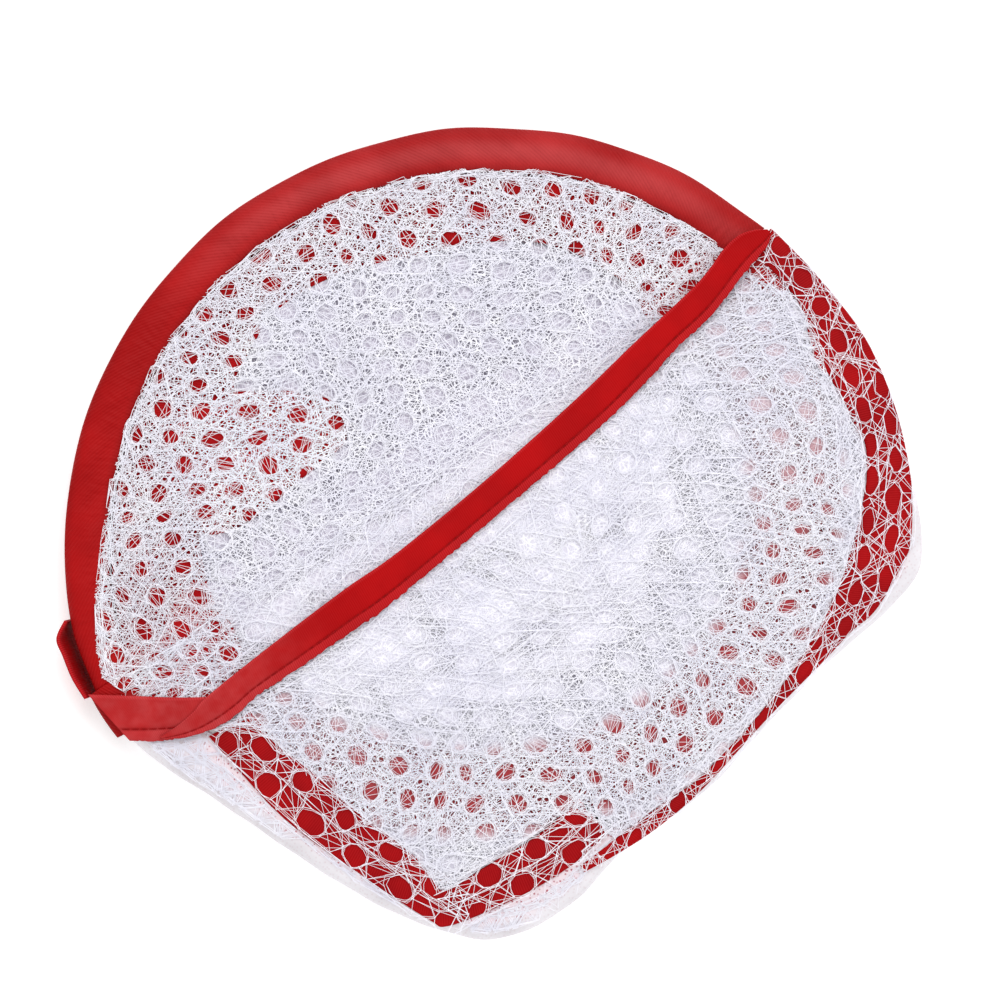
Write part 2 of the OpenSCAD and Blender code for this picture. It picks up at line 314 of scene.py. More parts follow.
def casing_cloth():
    """Red woven casing: fine diagonal twill, paler ribs near the sewn seam (a painted sheen), soft puckers, a painted
    highlight along the crown on the side towards the key lamp, painted shade at the seam and at the outer edge.
    """
    f = Finish("casing_cloth")
    along, across = f.cloth_map()
    place = f.place()
    slow = f.noise(place, 45.0, 3.0)
    cloudy = slow.step(0.3, 0.7)
    away = across.size()
    seam = 1.0 - away.step(0.0, 0.0052)
    weave = f.ribs(along * 1.0 + across * 1.35, 0.00150) * (1.0 - seam) + f.ribs(along, 0.00105, slow * 3.0) * seam
    field = f.mix(cloudy, (151, 2, 4), (168, 6, 8))
    field = f.mix(weave * 0.12, field, (198, 44, 46))
    # painted sheen: the ribs near the seam are painted paler, where light catches the tube's inner side
    field = f.mix(seam * 0.08, field, (196, 50, 52))
    # painted shade: the outer edge of the tube, where it rounds away, is painted darker
    field = f.mix(away.step(0.0106, 0.0134) * 0.35, field, (124, 5, 8))
    # painted highlight: the casing is painted paler on the side towards the key lamp, in patches and most along the
    # crown of the tube
    painted_sheen = f.plane(place)[1].step(0.055, 0.118)
    crown = 1.0 - (away - 0.0066).size().step(0.0004, 0.0046)
    field = f.mix(painted_sheen * (0.03 + cloudy * 0.06 + crown * 0.13), field, (228, 122, 124))
    # painted shade: the tube's inner edge by the seam is painted darker, where shade falls beside the mesh
    seam_shade = 1.0 - away.step(0.0008, 0.0034)
    field = f.mix(seam_shade * 0.45, field, (120, 3, 5))
    pucker = f.noise(f.flat_place(along, across * 0.35), 420.0)
    normal = f.bump(weave, 0.00014, 0.6, f.bump(pucker, 0.0012, 0.4))
    return f.surface(Base_Color=field, Roughness=0.46 + slow * 0.16, Normal=normal, Specular_IOR_Level=0.10)


def tape_cloth(name, paler_from, paler_to):
    """Red ribbed tape: ribs across it, a dark stitch line with painted shade in its groove, a paler flange beyond it.
    From one place to the next along it, the cloth is painted paler, a painted sheen where its ribs catch the light."""
    f = Finish(name)
    along, across = f.cloth_map()
    slow = f.noise(f.place(), 60.0, 3.0)
    painted_sheen = f.noise(f.place(), 210.0, 3.0)
    ribs = f.ribs(along, 0.00066, slow * 2.0)
    groove = 1.0 - (across + 0.0029).size().step(0.0, 0.0008)
    flange = 1.0 - across.step(-0.0036, -0.0028)
    rim = across.step(0.0046, 0.0056)
    field = f.mix(slow.step(0.35, 0.7), (162, 3, 6), (176, 6, 9))
    # painted highlight: along the folded edge (rim) the ribs are painted paler, where they catch the light
    field = f.mix(ribs * (0.08 + flange * 0.34 + rim * 0.40), field, (206, 60, 66))
    # painted sheen: from one place to the next along the tape its base colour turns paler, in patches
    paler = along.step(paler_from, paler_to) * (0.07 + painted_sheen.step(0.3, 0.7) * 0.09)
    field = f.mix(paler, field, (232, 128, 130))
    # painted shade: the groove that the stitches pull in is painted darker
    field = f.mix(groove * 0.35, field, (126, 5, 8))
    normal = f.bump(ribs, 0.00012, 0.45, f.bump(slow, 0.0022, 0.5))
    return f.surface(Base_Color=field, Roughness=0.42 + slow * 0.2, Normal=normal, Specular_IOR_Level=0.05)


def hem_cloth():
    """Red hem under the mesh: ribbed and matt, darker and paler in broad patches."""
    f = Finish("hem_cloth")
    along, _ = f.cloth_map()
    slow = f.noise(f.place(), 70.0, 3.0)
    ribs = f.ribs(along, 0.00070, slow * 3.0)
    field = f.mix(slow.step(0.3, 0.7), (143, 3, 8), (165, 7, 12))
    field = f.mix(ribs * 0.20, field, (198, 40, 46))
    return f.surface(Base_Color=field, Roughness=0.5 + slow * 0.15, Normal=f.bump(ribs, 0.00012, 0.45),
                     Specular_IOR_Level=0.06)


def mesh_thread():
    """White knitting yarn, faintly cool, with a soft shine."""
    f = Finish("mesh_thread")
    slow = f.noise(f.place(), 35.0)
    fine = f.noise(f.place(), 900.0, 1.0)
    field = f.mix(slow.step(0.3, 0.7), (240, 239, 249), (247, 246, 253))
    field = f.mix(fine.step(0.45, 0.7) * 0.2, field, (238, 238, 250))
    return f.surface(Base_Color=field, Roughness=0.45 + slow * 0.2, Specular_IOR_Level=0.3)


def selvedge_film():
    """The mesh's smooth white selvedge, rosy where red lies under it, with small dark gaps."""
    f = Finish("selvedge_film")
    slow = f.noise(f.place(), 60.0, 3.0)
    fine = f.noise(f.place(), 700.0)
    _, inwards = f.cloth_map()
    gaps = f.node("ShaderNodeTexVoronoi", {"voronoi_dimensions": "2D"},
                  {"Vector": f.place(), "Scale": 700.0}).out("Distance").step(0.28, 0.12)
    field = f.mix(slow.step(0.3, 0.7), (224, 219, 224), (239, 235, 240))
    rosy = inwards.step(0.0030, 0.0065) * slow.step(0.30, 0.55)
    field = f.mix(rosy * 0.35, field, (228, 190, 198))
    field = f.mix(gaps * (rosy * fine.step(0.35, 0.6) * 0.85 + 0.1), field, (168, 64, 80))
    return f.surface(Base_Color=field, Roughness=0.5 + fine * 0.1, Normal=f.bump(slow + fine * 0.2, 0.0012, 0.4),
                     Specular_IOR_Level=0.2)


def beyond_fold(x, y):
    """Metres from the object's origin towards the lifting half, square to the fold line."""
    return y * 0.754 - x * 0.657


GROUND_YARN = 0.000105  # metres


def knit_ground():
    """The knit between its holes: fine white yarns that cross, open between them. It is thinner near the rim of the
    lifting half, and thinnest by the lower crossing."""
    f = Finish("knit_ground")
    place = f.flat_place(*f.cloth_map())
    slow = f.noise(place, 60.0)
    threads = f.fine_yarns(place, ((330.0, 0.3, 2.2), (420.0, 1.5, 1.9), (520.0, 2.5, 1.6), (640.0, 0.9, 1.3)),
                           lambda scale: (GROUND_YARN * scale * 0.55, GROUND_YARN * scale * 1.1))
    field = f.mix(slow.step(0.3, 0.7), (242, 241, 252), (251, 250, 255))
    x, y = f.plane(f.place())
    here = f.flat_place(x, y)

    def far_from(px, py):
        return f.node("ShaderNodeVectorMath", {"operation": "DISTANCE"}, {0: here, 1: (px, py, 0)}).out("Value")

    rim = far_from(0, 0).step(0.080, 0.110)
    corner = 1.0 - far_from(-0.103, -0.030).step(0.014, 0.042)
    thin = beyond_fold(x, y).step(-0.004, 0.010) * (rim * 0.25).over(corner * 0.55)
    return f.surface(Base_Color=field, Roughness=0.5 + slow * 0.15, Normal=f.bump(threads, 0.0002, 0.35),
                     Specular_IOR_Level=0.25, Alpha=threads * (0.82 + slow * 0.2) * (1.0 - thin))


def packed_mesh(name, gap_shade, yarn, blush):
    """Mesh packed many folds deep: near-opaque, with fine yarn, its gaps painted darker as painted shade of the folds
    below. blush is how much of the inner turn's red comes through in a ring, and how much painted shade greys the mesh
    beyond the fold."""
    f = Finish(name)
    place = f.place()
    slow = f.noise(place, 40.0)
    threads = f.fine_yarns(place, ((420.0, 0.5, 2.0), (520.0, 1.7, 1.7), (640.0, 2.7, 1.4)),
                           lambda scale: (0.03, 0.10))
    x, y = f.plane(place)
    # painted shade: between the yarns the mesh takes the darker gap colour, standing for the shaded folds below
    field = f.mix(threads, gap_shade, yarn)
    wide, deep = 0.099, 0.089  # half sizes of the oval that the inner turn makes
    around = f.node("ShaderNodeVectorMath", {"operation": "LENGTH"}, {
        0: f.node("ShaderNodeMapping", None, {
            "Vector": f.flat_place(x, y), "Location": (0.0051 / wide, -0.0096 / deep, 0),
            "Scale": (1 / wide, 1 / deep, 1)}).out()}).out("Value")
    ring = around.step(0.80, 0.88) * (1.0 - around.step(1.08, 1.16))
    # painted shade: on the lifting side, past the ground tape, the mesh is painted greyer
    beyond = beyond_fold(x, y).step(0.0120, 0.0175) * blush
    field = f.mix(beyond * (0.55 - threads * 0.2), field, (198, 192, 206))
    low = (x * 0.45 - y * 0.90).step(-0.012, 0.058)
    field = f.mix(ring * blush * (0.28 + low * 0.72), field, (168, 11, 21))
    return f.surface(Base_Color=field, Roughness=0.6 + slow * 0.15, Normal=f.bump(threads + slow * 0.6, 0.0003, 0.35),
                     Specular_IOR_Level=0.2)


def sewing_thread():
    f = Finish("sewing_thread")
    fine = f.noise(f.place(), 1500.0, 1.0)
    field = f.mix(fine.step(0.4, 0.6), (138, 7, 11), (160, 12, 16))
    return f.surface(Base_Color=field, Roughness=0.5 + fine * 0.2, Specular_IOR_Level=0.1)


def metal(name, scale, dark, bright, rough, uneven, relief=0.0):
    f = Finish(name)
    fine = f.noise(f.place(), scale, 3.0)
    sockets = {"Normal": f.bump(fine, 0.0003, relief)} if relief else {}
    return f.surface(Base_Color=f.mix(fine.step(0.35, 0.7), dark, bright), Metallic=1.0,
                     Roughness=rough + fine * uneven, **sockets)


CASING, HEM, THREAD, FILM, SEWING = casing_cloth(), hem_cloth(), mesh_thread(), selvedge_film(), sewing_thread()
# painted sheen: the ground tape turns paler from 172 mm to 225 mm along it, the corner tape is paler all over, the
# keeper ribbon nowhere
TAPE = tape_cloth("ground_tape_cloth", 0.172, 0.225)
CORNER_TAPE = tape_cloth("corner_tape_cloth", -0.02, -0.01)
RIBBON = tape_cloth("keeper_ribbon_cloth", 9.0, 9.1)
STEEL = metal("spring_steel", 240.0, (158, 160, 163), (186, 187, 190), 0.28, 0.18)
CRIMP = metal("crimped_aluminium", 420.0, (188, 190, 194), (212, 213, 216), 0.36, 0.2, 0.3)
PACKED = packed_mesh("packed_mesh_open_side", (196, 190, 204), (232, 230, 240), 0.0)
WELL = packed_mesh("packed_mesh_closed_side", (222, 219, 230), (248, 247, 253), 0.95)
GROUND = knit_ground()


# ---------------------------------------------------------------- making meshes

def new_object(name, verts, edges=(), faces=(), finish=None):
    """A mesh object from points in millimetres."""
    mesh = bpy.data.meshes.new(name)
    mesh.from_pydata((np.asarray(verts, float) * MM).tolist(), [tuple(e) for e in edges],
                     [tuple(f) for f in faces])
    if finish is not None:
        mesh.materials.append(finish)
    return add_object(name, mesh)


def lay_uv(mesh, flat):
    """The piece's UV map in metres, from each vertex's place on the flat cloth in millimetres."""
    vertex = np.zeros(len(mesh.loops), np.int32)
    mesh.loops.foreach_get("vertex_index", vertex)
    layer = mesh.uv_layers.new(name="cloth")
    layer.data.foreach_set("uv", (flat * MM)[vertex].astype(np.float32).ravel())


def closed_sweep(name, rings, cloth, finish):
    """A closed skin over rings of points (stations x points x 3), its ends filled, its UV map in metres."""
    stations, count = rings.shape[:2]
    index = np.arange(stations * count).reshape(stations, count)
    after = np.roll(index, -1, axis=1)
    sides = np.stack([index[:-1], index[1:], after[1:], after[:-1]], axis=-1).reshape(-1, 4)
    faces = sides.tolist() + [index[0].tolist(), index[-1][::-1].tolist()]
    obj = new_object(name, rings.reshape(-1, 3), faces=faces, finish=finish)
    lay_uv(obj.data, cloth.reshape(-1, 2))
    face_out(obj.data, smooth_sides=True)
    obj.data.polygons[-1].use_smooth = obj.data.polygons[-2].use_smooth = False
    return obj


def triangles(mesh):
    mesh.calc_loop_triangles()
    tri = np.zeros(len(mesh.loop_triangles) * 3, np.int32)
    mesh.loop_triangles.foreach_get("vertices", tri)
    co = np.zeros(len(mesh.vertices) * 3, np.float32)
    mesh.vertices.foreach_get("co", co)
    return co.reshape(-1, 3)[tri.reshape(-1, 3)].astype(float)


def face_out(mesh, smooth_sides=False):
    """Turns a closed mesh's faces outward."""
    t = triangles(mesh)
    if np.einsum("ij,ij->i", t[:, 0], np.cross(t[:, 1], t[:, 2])).sum() < 0:
        mesh.flip_normals()
    if smooth_sides:
        mesh.polygons.foreach_set("use_smooth", np.ones(len(mesh.polygons), bool))


def cloth_area(obj):
    """Half of a closed skin's surface: the area of cloth or yarn that it stands for."""
    t = triangles(obj.data)
    return float(np.linalg.norm(np.cross(t[:, 1] - t[:, 0], t[:, 2] - t[:, 0]), axis=1).sum() / 4)


def declare_cloth(obj, width, cover):
    """Divides a folded panel's area by its cover and cut width, and does nothing with the result. cover is the share of
    the panel
    that its yarns fill: 1 for a sheet that stands for packed folds. Its area is what the yarns or the sheet themselves
    cover."""
    area = cloth_area(obj)
    area / cover / width


def settle(obj, body, node=None, width=None, cover=FULL_COVER):
    """Hides the node that a finished piece replaces, works out its cloth without keeping it, and hangs it on the body
    that it rides on.
    """
    if node:
        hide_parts(node)
    if width:
        declare_cloth(obj, width, cover)
    if body:
        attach(obj, body)


def on_fold(along, across, z=None):
    """A place from its distances along the fold line and square to it; with a height, in metres."""
    flat = FOLD_MID + along * FOLD_DIR + across * FOLD_OUT
    return flat if z is None else tuple(np.append(flat, z) * MM)


def heights(height, flat, *more):
    """Heights at places, from one number or a function of the places."""
    return height(flat, *more) if callable(height) else np.full(flat.shape[:-1], float(height))


def raised(flat, z):
    """Places with their heights."""
    return np.concatenate([flat, z[..., None]], -1)


# ---------------------------------------------------------------- trees of geometry nodes

YARN_ROLL = -30.0  # turns a three-sided yarn so that one flat side lies upwards


def yarn_tree():
    """Every line of the mesh becomes a yarn of the given diameter."""
    tree = bpy.data.node_groups.new("yarn_along_lines", "GeometryNodeTree")
    for label, way, kind, value in (
            ("Geometry", "INPUT", "Geometry", None), ("Yarn diameter", "INPUT", "Float", 0.0003),
            ("Yarn sides", "INPUT", "Int", 3), ("Yarn finish", "INPUT", "Material", None),
            ("Geometry", "OUTPUT", "Geometry", None)):
        socket = tree.interface.new_socket(label, in_out=way, socket_type="NodeSocket" + kind)
        if value is not None:
            socket.default_value = value

    def node(kind, sockets, **settings):
        return add_node(tree, "GeometryNode" + kind, settings, sockets)

    given = add_node(tree, "NodeGroupInput")
    lines = node("MeshToCurve", {"Mesh": given["Geometry"]})
    upright = node("SetCurveNormal", {"Curve": lines["Curve"]}, mode="Z_UP")
    radius = add_node(tree, "ShaderNodeMath", {"operation": "MULTIPLY"}, {0: given["Yarn diameter"], 1: 0.5})
    section = node("CurvePrimitiveCircle", {"Radius": radius[0], "Resolution": given["Yarn sides"]})
    turned = node("Transform", {"Geometry": section["Curve"], "Rotation": (0, 0, math.radians(YARN_ROLL))})
    skin = node("CurveToMesh", {"Curve": upright["Curve"], "Profile Curve": turned["Geometry"], "Fill Caps": True})
    flat = node("SetShadeSmooth", {"Geometry": skin["Mesh"], "Shade Smooth": False})
    real = node("RealizeInstances", {"Geometry": flat["Geometry"]})
    paint = node("SetMaterial", {"Geometry": real["Geometry"], "Material": given["Yarn finish"]})
    add_node(tree, "NodeGroupOutput", None, {"Geometry": paint["Geometry"]})
    return tree


YARN_TREE = yarn_tree()


def spin_yarn(name, lines, diameter=YARN, finish=THREAD, sides=3):
    """Turns lists of polylines (each an array count x points x 3, with a flag for closed loops) into yarn."""
    verts, edges, base = [], [], 0
    for block, closed in lines:
        if not len(block):
            continue
        count, steps = block.shape[:2]
        index = base + np.arange(count * steps).reshape(count, steps)
        edges.append(np.stack([index[:, :-1], index[:, 1:]], -1).reshape(-1, 2))
        if closed:
            edges.append(np.stack([index[:, -1], index[:, 0]], -1))
        verts.append(block.reshape(-1, 3))
        base += count * steps
    obj = new_object(name, np.vstack(verts), edges=np.vstack(edges).tolist())
    modifier = obj.modifiers.new("yarn", "NODES")
    modifier.node_group = YARN_TREE
    sockets = {s.name: s.identifier for s in YARN_TREE.interface.items_tree if s.in_out == "INPUT"}
    for label, value in (("diameter", diameter * MM), ("sides", sides), ("finish", finish)):
        modifier[sockets["Yarn " + label]] = value
    mesh = bpy.data.meshes.new_from_object(obj.evaluated_get(bpy.context.evaluated_depsgraph_get()))
    obj.modifiers.clear()
    obj.data = mesh
    mesh.name = name
    return obj


# ---------------------------------------------------------------- knitted mesh

class Knit:
    """The mesh's repeat: holes on a slanted grid. Knots sit round each hole, and straight yarns cross between the
    knots of neighbouring holes."""

    def __init__(self, first=(12.0, -0.9), second=(8.7, 7.5), hole=(2.75, 2.45), knots=10, crossings=9, uneven=0.06,
                 loops=3, stray=0.06, turning=None, veil=0.0):
        self.first, self.second = np.array(first, float), np.array(second, float)
        self.hole, self.knots, self.crossings, self.uneven = np.array(hole, float), knots, crossings, uneven
        self.loops, self.stray, self.turning, self.veil = loops, stray, turning, veil

    def grid(self, low, high, origin):
        """Hole centres over a box, as rows and columns of the slanted grid."""
        basis = np.column_stack([self.first, self.second])
        corners = np.array([[x, y] for x in (low[0], high[0]) for y in (low[1], high[1])]) - np.array(origin)
        cells = np.linalg.solve(basis, corners.T).T
        (i0, j0), (i1, j1) = np.floor(cells.min(0)).astype(int) - 1, np.ceil(cells.max(0)).astype(int) + 1
        i, j = np.meshgrid(np.arange(i0, i1 + 1), np.arange(j0, j1 + 1), indexing="ij")
        centres = np.array(origin) + i[..., None] * self.first + j[..., None] * self.second
        wanted = np.all((centres > np.array(low)) & (centres < np.array(high)), -1)
        return centres, wanted

    def holes(self, centres, seed, count):
        """Points round every hole, unevenly spread, count of them."""
        r = np.random.default_rng(seed)
        centres = centres + r.normal(0, 0.22, centres.shape)
        size = 1 + r.normal(0, self.uneven, (*centres.shape[:2], 1))
        lean = r.normal(0, 0.08, (*centres.shape[:2], 1))
        angle = np.arange(count) * 2 * math.pi / count
        hole = self.hole
        if self.turning is not None:  # from one place to the next along the grid, holes change to another size
            start, stop, other = self.turning
            share = np.clip((centres[..., :1] - start) / (stop - start), 0, 1)
            hole = (hole + (np.array(other) - hole) * share)[..., None, :]
        around = ray(angle + lean) * hole * size[..., None]
        return centres, around

    def lines(self, centres, wanted, seed):
        """Closed loops round the holes, and crossing yarns between them, in the grid's own plane."""
        shape = centres.shape[:2]
        count = self.knots
        step = 2 * math.pi / count
        centres, around = self.holes(centres, seed, count)
        r = np.random.default_rng(seed + 77)
        outward = around / np.linalg.norm(around, axis=-1)[..., None]
        along = np.stack([-outward[..., 1], outward[..., 0]], -1)
        knots = centres[..., None, :] + around * (1 + r.normal(0, 0.05, (*shape, count, 1))) \
            + along * r.normal(0, 0.22, (*shape, count, 1))
        loops = []
        for turn in range(self.loops):
            wide = r.uniform(-0.15, 0.25 + 0.45 * turn, (*shape, count, 1))
            slip = r.normal(0, 0.25, (*shape, 1, 2))
            loops.append(((knots + outward * wide + slip + along * r.normal(0, 0.2, (*shape, count, 1)))[wanted], True))
        crossed = []
        for _ in range(5):  # yarns that cross a veiled hole
            here = knots[wanted & (r.random(shape) < self.veil)]
            a = r.integers(0, count, len(here))
            b = (a + r.integers(3, count - 2, len(here))) % count
            which = np.arange(len(here))
            if len(here):
                crossed.append(np.stack([here[which, a], here[which, b]], 1) + r.normal(0, 0.15, (len(here), 2, 2)))
        knots = knots + outward * r.uniform(0.0, 0.6, (*shape, count, 1))
        rows, columns = shape
        for (di, dj), n in (((1, 0), self.first), ((0, 1), self.second), ((-1, 1), self.second - self.first)):
            i, j = np.arange(max(0, -di), rows - max(0, di)), np.arange(0, columns - dj)
            here, there = np.ix_(i, j), np.ix_(i + di, j + dj)
            facing = int(round(math.atan2(n[1] / self.hole[1], n[0] / self.hole[0]) / step))
            mine, other, both = knots[here], knots[there], wanted[here] & wanted[there]
            mine, other = mine[both], other[both]
            if not len(mine):
                continue
            which = np.arange(len(mine))
            for _ in range(self.crossings):
                a = r.integers(-2, 3, len(mine))
                b = -a + r.integers(-1, 2, len(mine))
                start = mine[which, (facing + a) % count]
                end = other[which, (facing + count // 2 + b) % count]
                over = (end - start) * r.uniform(0.0, self.stray, (len(mine), 1))
                crossed.append(np.stack([start - over, end + over], 1) + r.normal(0, 0.16, (len(mine), 2, 2)))
        return loops + ([(np.concatenate(crossed), False)] if crossed else [])


BAND_SCATTER, MESH_SCATTER = 0.12, 0.14  # how far above or below its layer a yarn may lie


def fine_knit(crossings, veil):
    return Knit(hole=(3.0, 2.8), crossings=crossings, veil=veil)


def drawn_in(flat, outline):
    """Yarns that are partly outside an outline are drawn in to it; those that are mostly outside are left out."""
    within = inside(flat, outline)
    keep = within.mean(1) > 0.3
    flat, out = flat[keep].copy(), ~within[keep]
    border = resample(np.vstack([outline, outline[:1]]), 700)
    far = flat[out]
    for k in range(0, len(far), 2000):
        part = far[k:k + 2000]
        far[k:k + 2000] = border[((part[:, None] - border[None]) ** 2).sum(-1).argmin(1)]
    flat[out] = far
    return flat, keep


def lay_band(line, knit, start, stop, low, high, height, seed, row=0.0, phase=0.0, trim=None, outline=None):
    """Mesh along a line: the knit's grid runs with the line, kept between two distances to its left."""
    run = lengths(line)
    side = left_of(line)
    r = np.random.default_rng(seed + 9)
    made = []
    for block, closed in knit.lines(*knit.grid((start - 10, low - 12), (stop + 10, high + 12), (phase, row)), seed):
        if not len(block):
            continue
        s, t = block[..., 0], block[..., 1]
        bend = 0.4 * ripple(block, 26, seed + 3)
        keep = ((s > start) & (s < stop)).all(1) & ((t > low) & (t < high)).all(1)
        s, t = s[keep] + bend[keep], t[keep]
        base = np.stack([np.interp(s, run, line[:, k]) for k in (0, 1)], -1)
        out = np.stack([np.interp(s, run, side[:, k]) for k in (0, 1)], -1)
        flat = base + out * t[..., None]
        if trim is not None and len(flat):
            keep = trim(flat).all(1)
            flat, t = flat[keep], t[keep]
        if outline is not None and len(flat):
            flat, keep = drawn_in(flat, outline)
            t = t[keep]
        if not len(flat):
            continue
        z = heights(height, flat, t)
        made.append((raised(flat, z + r.uniform(-BAND_SCATTER, BAND_SCATTER, z.shape)), closed))
    return made


class Layer:
    """How one layer of mesh lies: its knit, where its grid starts and how it is turned and drawn. Layers with the
    same drawing seed are drawn alike, so that their holes stay in line."""

    def __init__(self, knit, middle, reach, seed, drawing, turn=0.0, origin=(0, 0)):
        self.knit, self.middle, self.reach, self.seed, self.origin = knit, middle, reach, seed, origin
        self.drawing = drawing
        c, s = math.cos(math.radians(turn)), math.sin(math.radians(turn))
        self.spin = np.array([[c, s], [-s, c]])

    def grid(self):
        return self.knit.grid((-self.reach, -self.reach), (self.reach, self.reach), self.origin)

    def laid(self, flat):
        flat = flat @ self.spin + self.middle
        k = self.drawing
        return flat + 1.6 * np.stack([ripple(flat, 55, k), ripple(flat, 60, k + 1)], -1) \
            + 0.3 * np.stack([ripple(flat, 17, k + 2), ripple(flat, 19, k + 3)], -1)


def lay_mesh(layer, outline, height, trim=None):
    """The yarns of one layer cut to an outline. height is a number or a function of the place."""
    made = []
    for block, closed in layer.knit.lines(*layer.grid(), layer.seed):
        if not len(block):
            continue
        flat, _ = drawn_in(layer.laid(block), outline)
        if trim is not None:
            flat = flat[trim(flat).all(1)]
        if not len(flat):
            continue
        z = heights(height, flat)
        scatter = np.random.default_rng(layer.seed + 5).uniform(-MESH_SCATTER, MESH_SCATTER, z.shape)
        made.append((raised(flat, z + scatter), closed))
    return made


GROUND_T = 0.12


def lay_ground(name, layer, outline, height, trim):
    """The ground of the same layer: one closed sheet with a hole wherever its yarns leave one."""
    knit = layer.knit
    plan, _ = layer.grid()
    centres, around = knit.holes(plan, layer.seed, 12)
    first, second = knit.first, knit.second
    corner = plan - (first + second) / 2
    thirds = [(0, 0), (1, 0), (2, 0), (3, 0), (3, 1), (3, 2), (3, 3), (2, 3), (1, 3), (0, 3), (0, 2), (0, 1)]
    border = np.stack([corner + first * i / 3 + second * j / 3 for i, j in thirds], -2)
    away = (border - plan[..., None, :]) / knit.hole
    away = away / np.linalg.norm(away, axis=-1)[..., None]
    size = np.linalg.norm(around[..., :1, :] / knit.hole, axis=-1)[..., None]
    rim = centres[..., None, :] + away * knit.hole * size
    border, rim = layer.laid(border.reshape(-1, 12, 2)), layer.laid(rim.reshape(-1, 12, 2))
    keep = inside(border, outline).any(1) & trim(border).all(1)
    border, rim = border[keep], rim[keep]
    heart = outline.mean(0)
    edge_way = np.arctan2(*(outline - heart).T[::-1])
    order = np.argsort(edge_way)
    edge_far = np.linalg.norm(outline - heart, axis=1)

    def held(flat):
        """Points beyond the outline move in to it."""
        rel = flat - heart
        far = np.linalg.norm(rel, axis=-1)
        most = np.interp(np.arctan2(rel[..., 1], rel[..., 0]), edge_way[order], edge_far[order], period=2 * math.pi)
        return heart + rel * np.minimum(1, most / np.maximum(far, 1e-6))[..., None]

    points = held(np.concatenate([border.reshape(-1, 2), rim.reshape(-1, 2)]))
    merged, index = np.unique(np.round(points, 3), axis=0, return_inverse=True)
    index = index.reshape(2, -1, 12)
    quads = np.stack([index[0], np.roll(index[0], -1, 1), np.roll(index[1], -1, 1), index[1]], -1).reshape(-1, 4)
    quads = quads[[len(set(q)) == 4 for q in quads.tolist()]]
    a, b = quads.reshape(-1), np.roll(quads, -1, 1).reshape(-1)
    count = len(merged)
    ways = set((a * count + b).tolist())
    free = np.array([(x, y) for x, y in zip(a.tolist(), b.tolist()) if y * count + x not in ways])
    z = height(merged) + 0.10 * ripple(merged, 9, layer.seed + 6)
    verts = np.concatenate([raised(merged, z), raised(merged, z - GROUND_T)])
    walls = np.column_stack([free[:, 1], free[:, 0], free[:, 0] + count, free[:, 1] + count])
    faces = quads.tolist() + (quads[:, ::-1] + count).tolist() + walls.tolist()
    obj = new_object(name, verts, faces=faces, finish=GROUND)
    lay_uv(obj.data, np.tile(merged, (2, 1)))
    face_out(obj.data)
    return obj


# ---------------------------------------------------------------- the hoop's casing

FOLD_GAP = 0.15  # how far short of the fold line each half-turn stops
TURNS = {
    # node: side, left u, right u, left z, right z, set back, body
    "top_casing": (1, -OUTER_U, OUTER_U, HIGH_Z, HIGH_Z, COIL_SET_BACK, "top_leaf"),
    "middle_casing": (1, -INNER_U, INNER_U, MID_Z, MID_Z, INNER_SET_BACK, "middle_leaf"),
    "lower_casing": (1, -OUTER_U, OUTER_U, LOW_Z, LOW_Z, COIL_SET_BACK, "bundle"),
    "rising_casing": (-1, -INNER_U, OUTER_U, MID_Z, HIGH_Z, CLOSED_SET_BACK, "bundle"),
    "inner_casing": (-1, -OUTER_U, INNER_U, LOW_Z, MID_Z, CLOSED_SET_BACK, "bundle"),
    "outer_casing": (-1, -OUTER_U, OUTER_U, HIGH_Z, LOW_Z, CLOSED_SET_BACK, "bundle"),
}
RIM_DRAW = 2.6  # how far the rim is drawn in at the lower crossing
# Where casings are drawn in: by how much, at what share of the half-turn, and over what share of it
PULLS = {"top_casing": (RIM_DRAW, 0.0, 0.045), "lower_casing": (RIM_DRAW, 0.0, 0.045),
         "outer_casing": (5.8, 0.12, 0.115), "inner_casing": (5.0, 0.13, 0.10)}
# How strongly the casings pucker, where not 0.8
PUFFS = {"top_casing": 1.0, "lower_casing": 0.35}


def half_height(s):
    outer, inner = CASING_W / 2 - WIRE_SHIFT, CASING_W / 2 + WIRE_SHIFT
    round_side = CASING_T / 2 * np.sqrt(np.clip(1 - ((s - WIRE_SHIFT) / outer) ** 2, 0, 1))
    seam_side = SEAM_T / 2 + (CASING_T - SEAM_T) / 2 * np.clip(
        np.cos(np.clip(math.pi / 2 * (WIRE_SHIFT - s) / inner, 0, math.pi / 2)), 0, 1) ** 1.3
    return np.where(s > WIRE_SHIFT, round_side, seam_side)


def casing_section(steps):
    """Round the casing's section from its seam: place across it, height, and distance round it from the seam."""
    outer = WIRE_SHIFT + (CASING_W / 2 - WIRE_SHIFT) * np.sin(np.linspace(0, 1, steps + 1)[1:] * math.pi / 2)
    across = np.concatenate([np.linspace(-CASING_W / 2, WIRE_SHIFT, steps), outer])
    height, back = half_height(across), across[-2:0:-1]
    return np.concatenate([across, back]), np.concatenate([height, -height[-2:0:-1]]), \
        np.concatenate([across + CASING_W / 2, -(back + CASING_W / 2)])


def half_turn_rings(node, angle, arm, rise):
    """Points of a half-turn where the pack has them, from their angle and distance about its arc and their rise."""
    side, left_u, right_u, left_z, right_z, set_back, _ = TURNS[node]
    tilt = math.atan2(right_z - left_z, right_u - left_u)
    x, y = arm * np.cos(angle), side * (-set_back + arm * np.sin(angle))
    u = (left_u + right_u) / 2 + x * math.cos(tilt) - rise * math.sin(tilt)
    z = (left_z + right_z) / 2 + x * math.sin(tilt) + rise * math.cos(tilt)
    return raised(on_fold(u[..., None], y[..., None]), z)


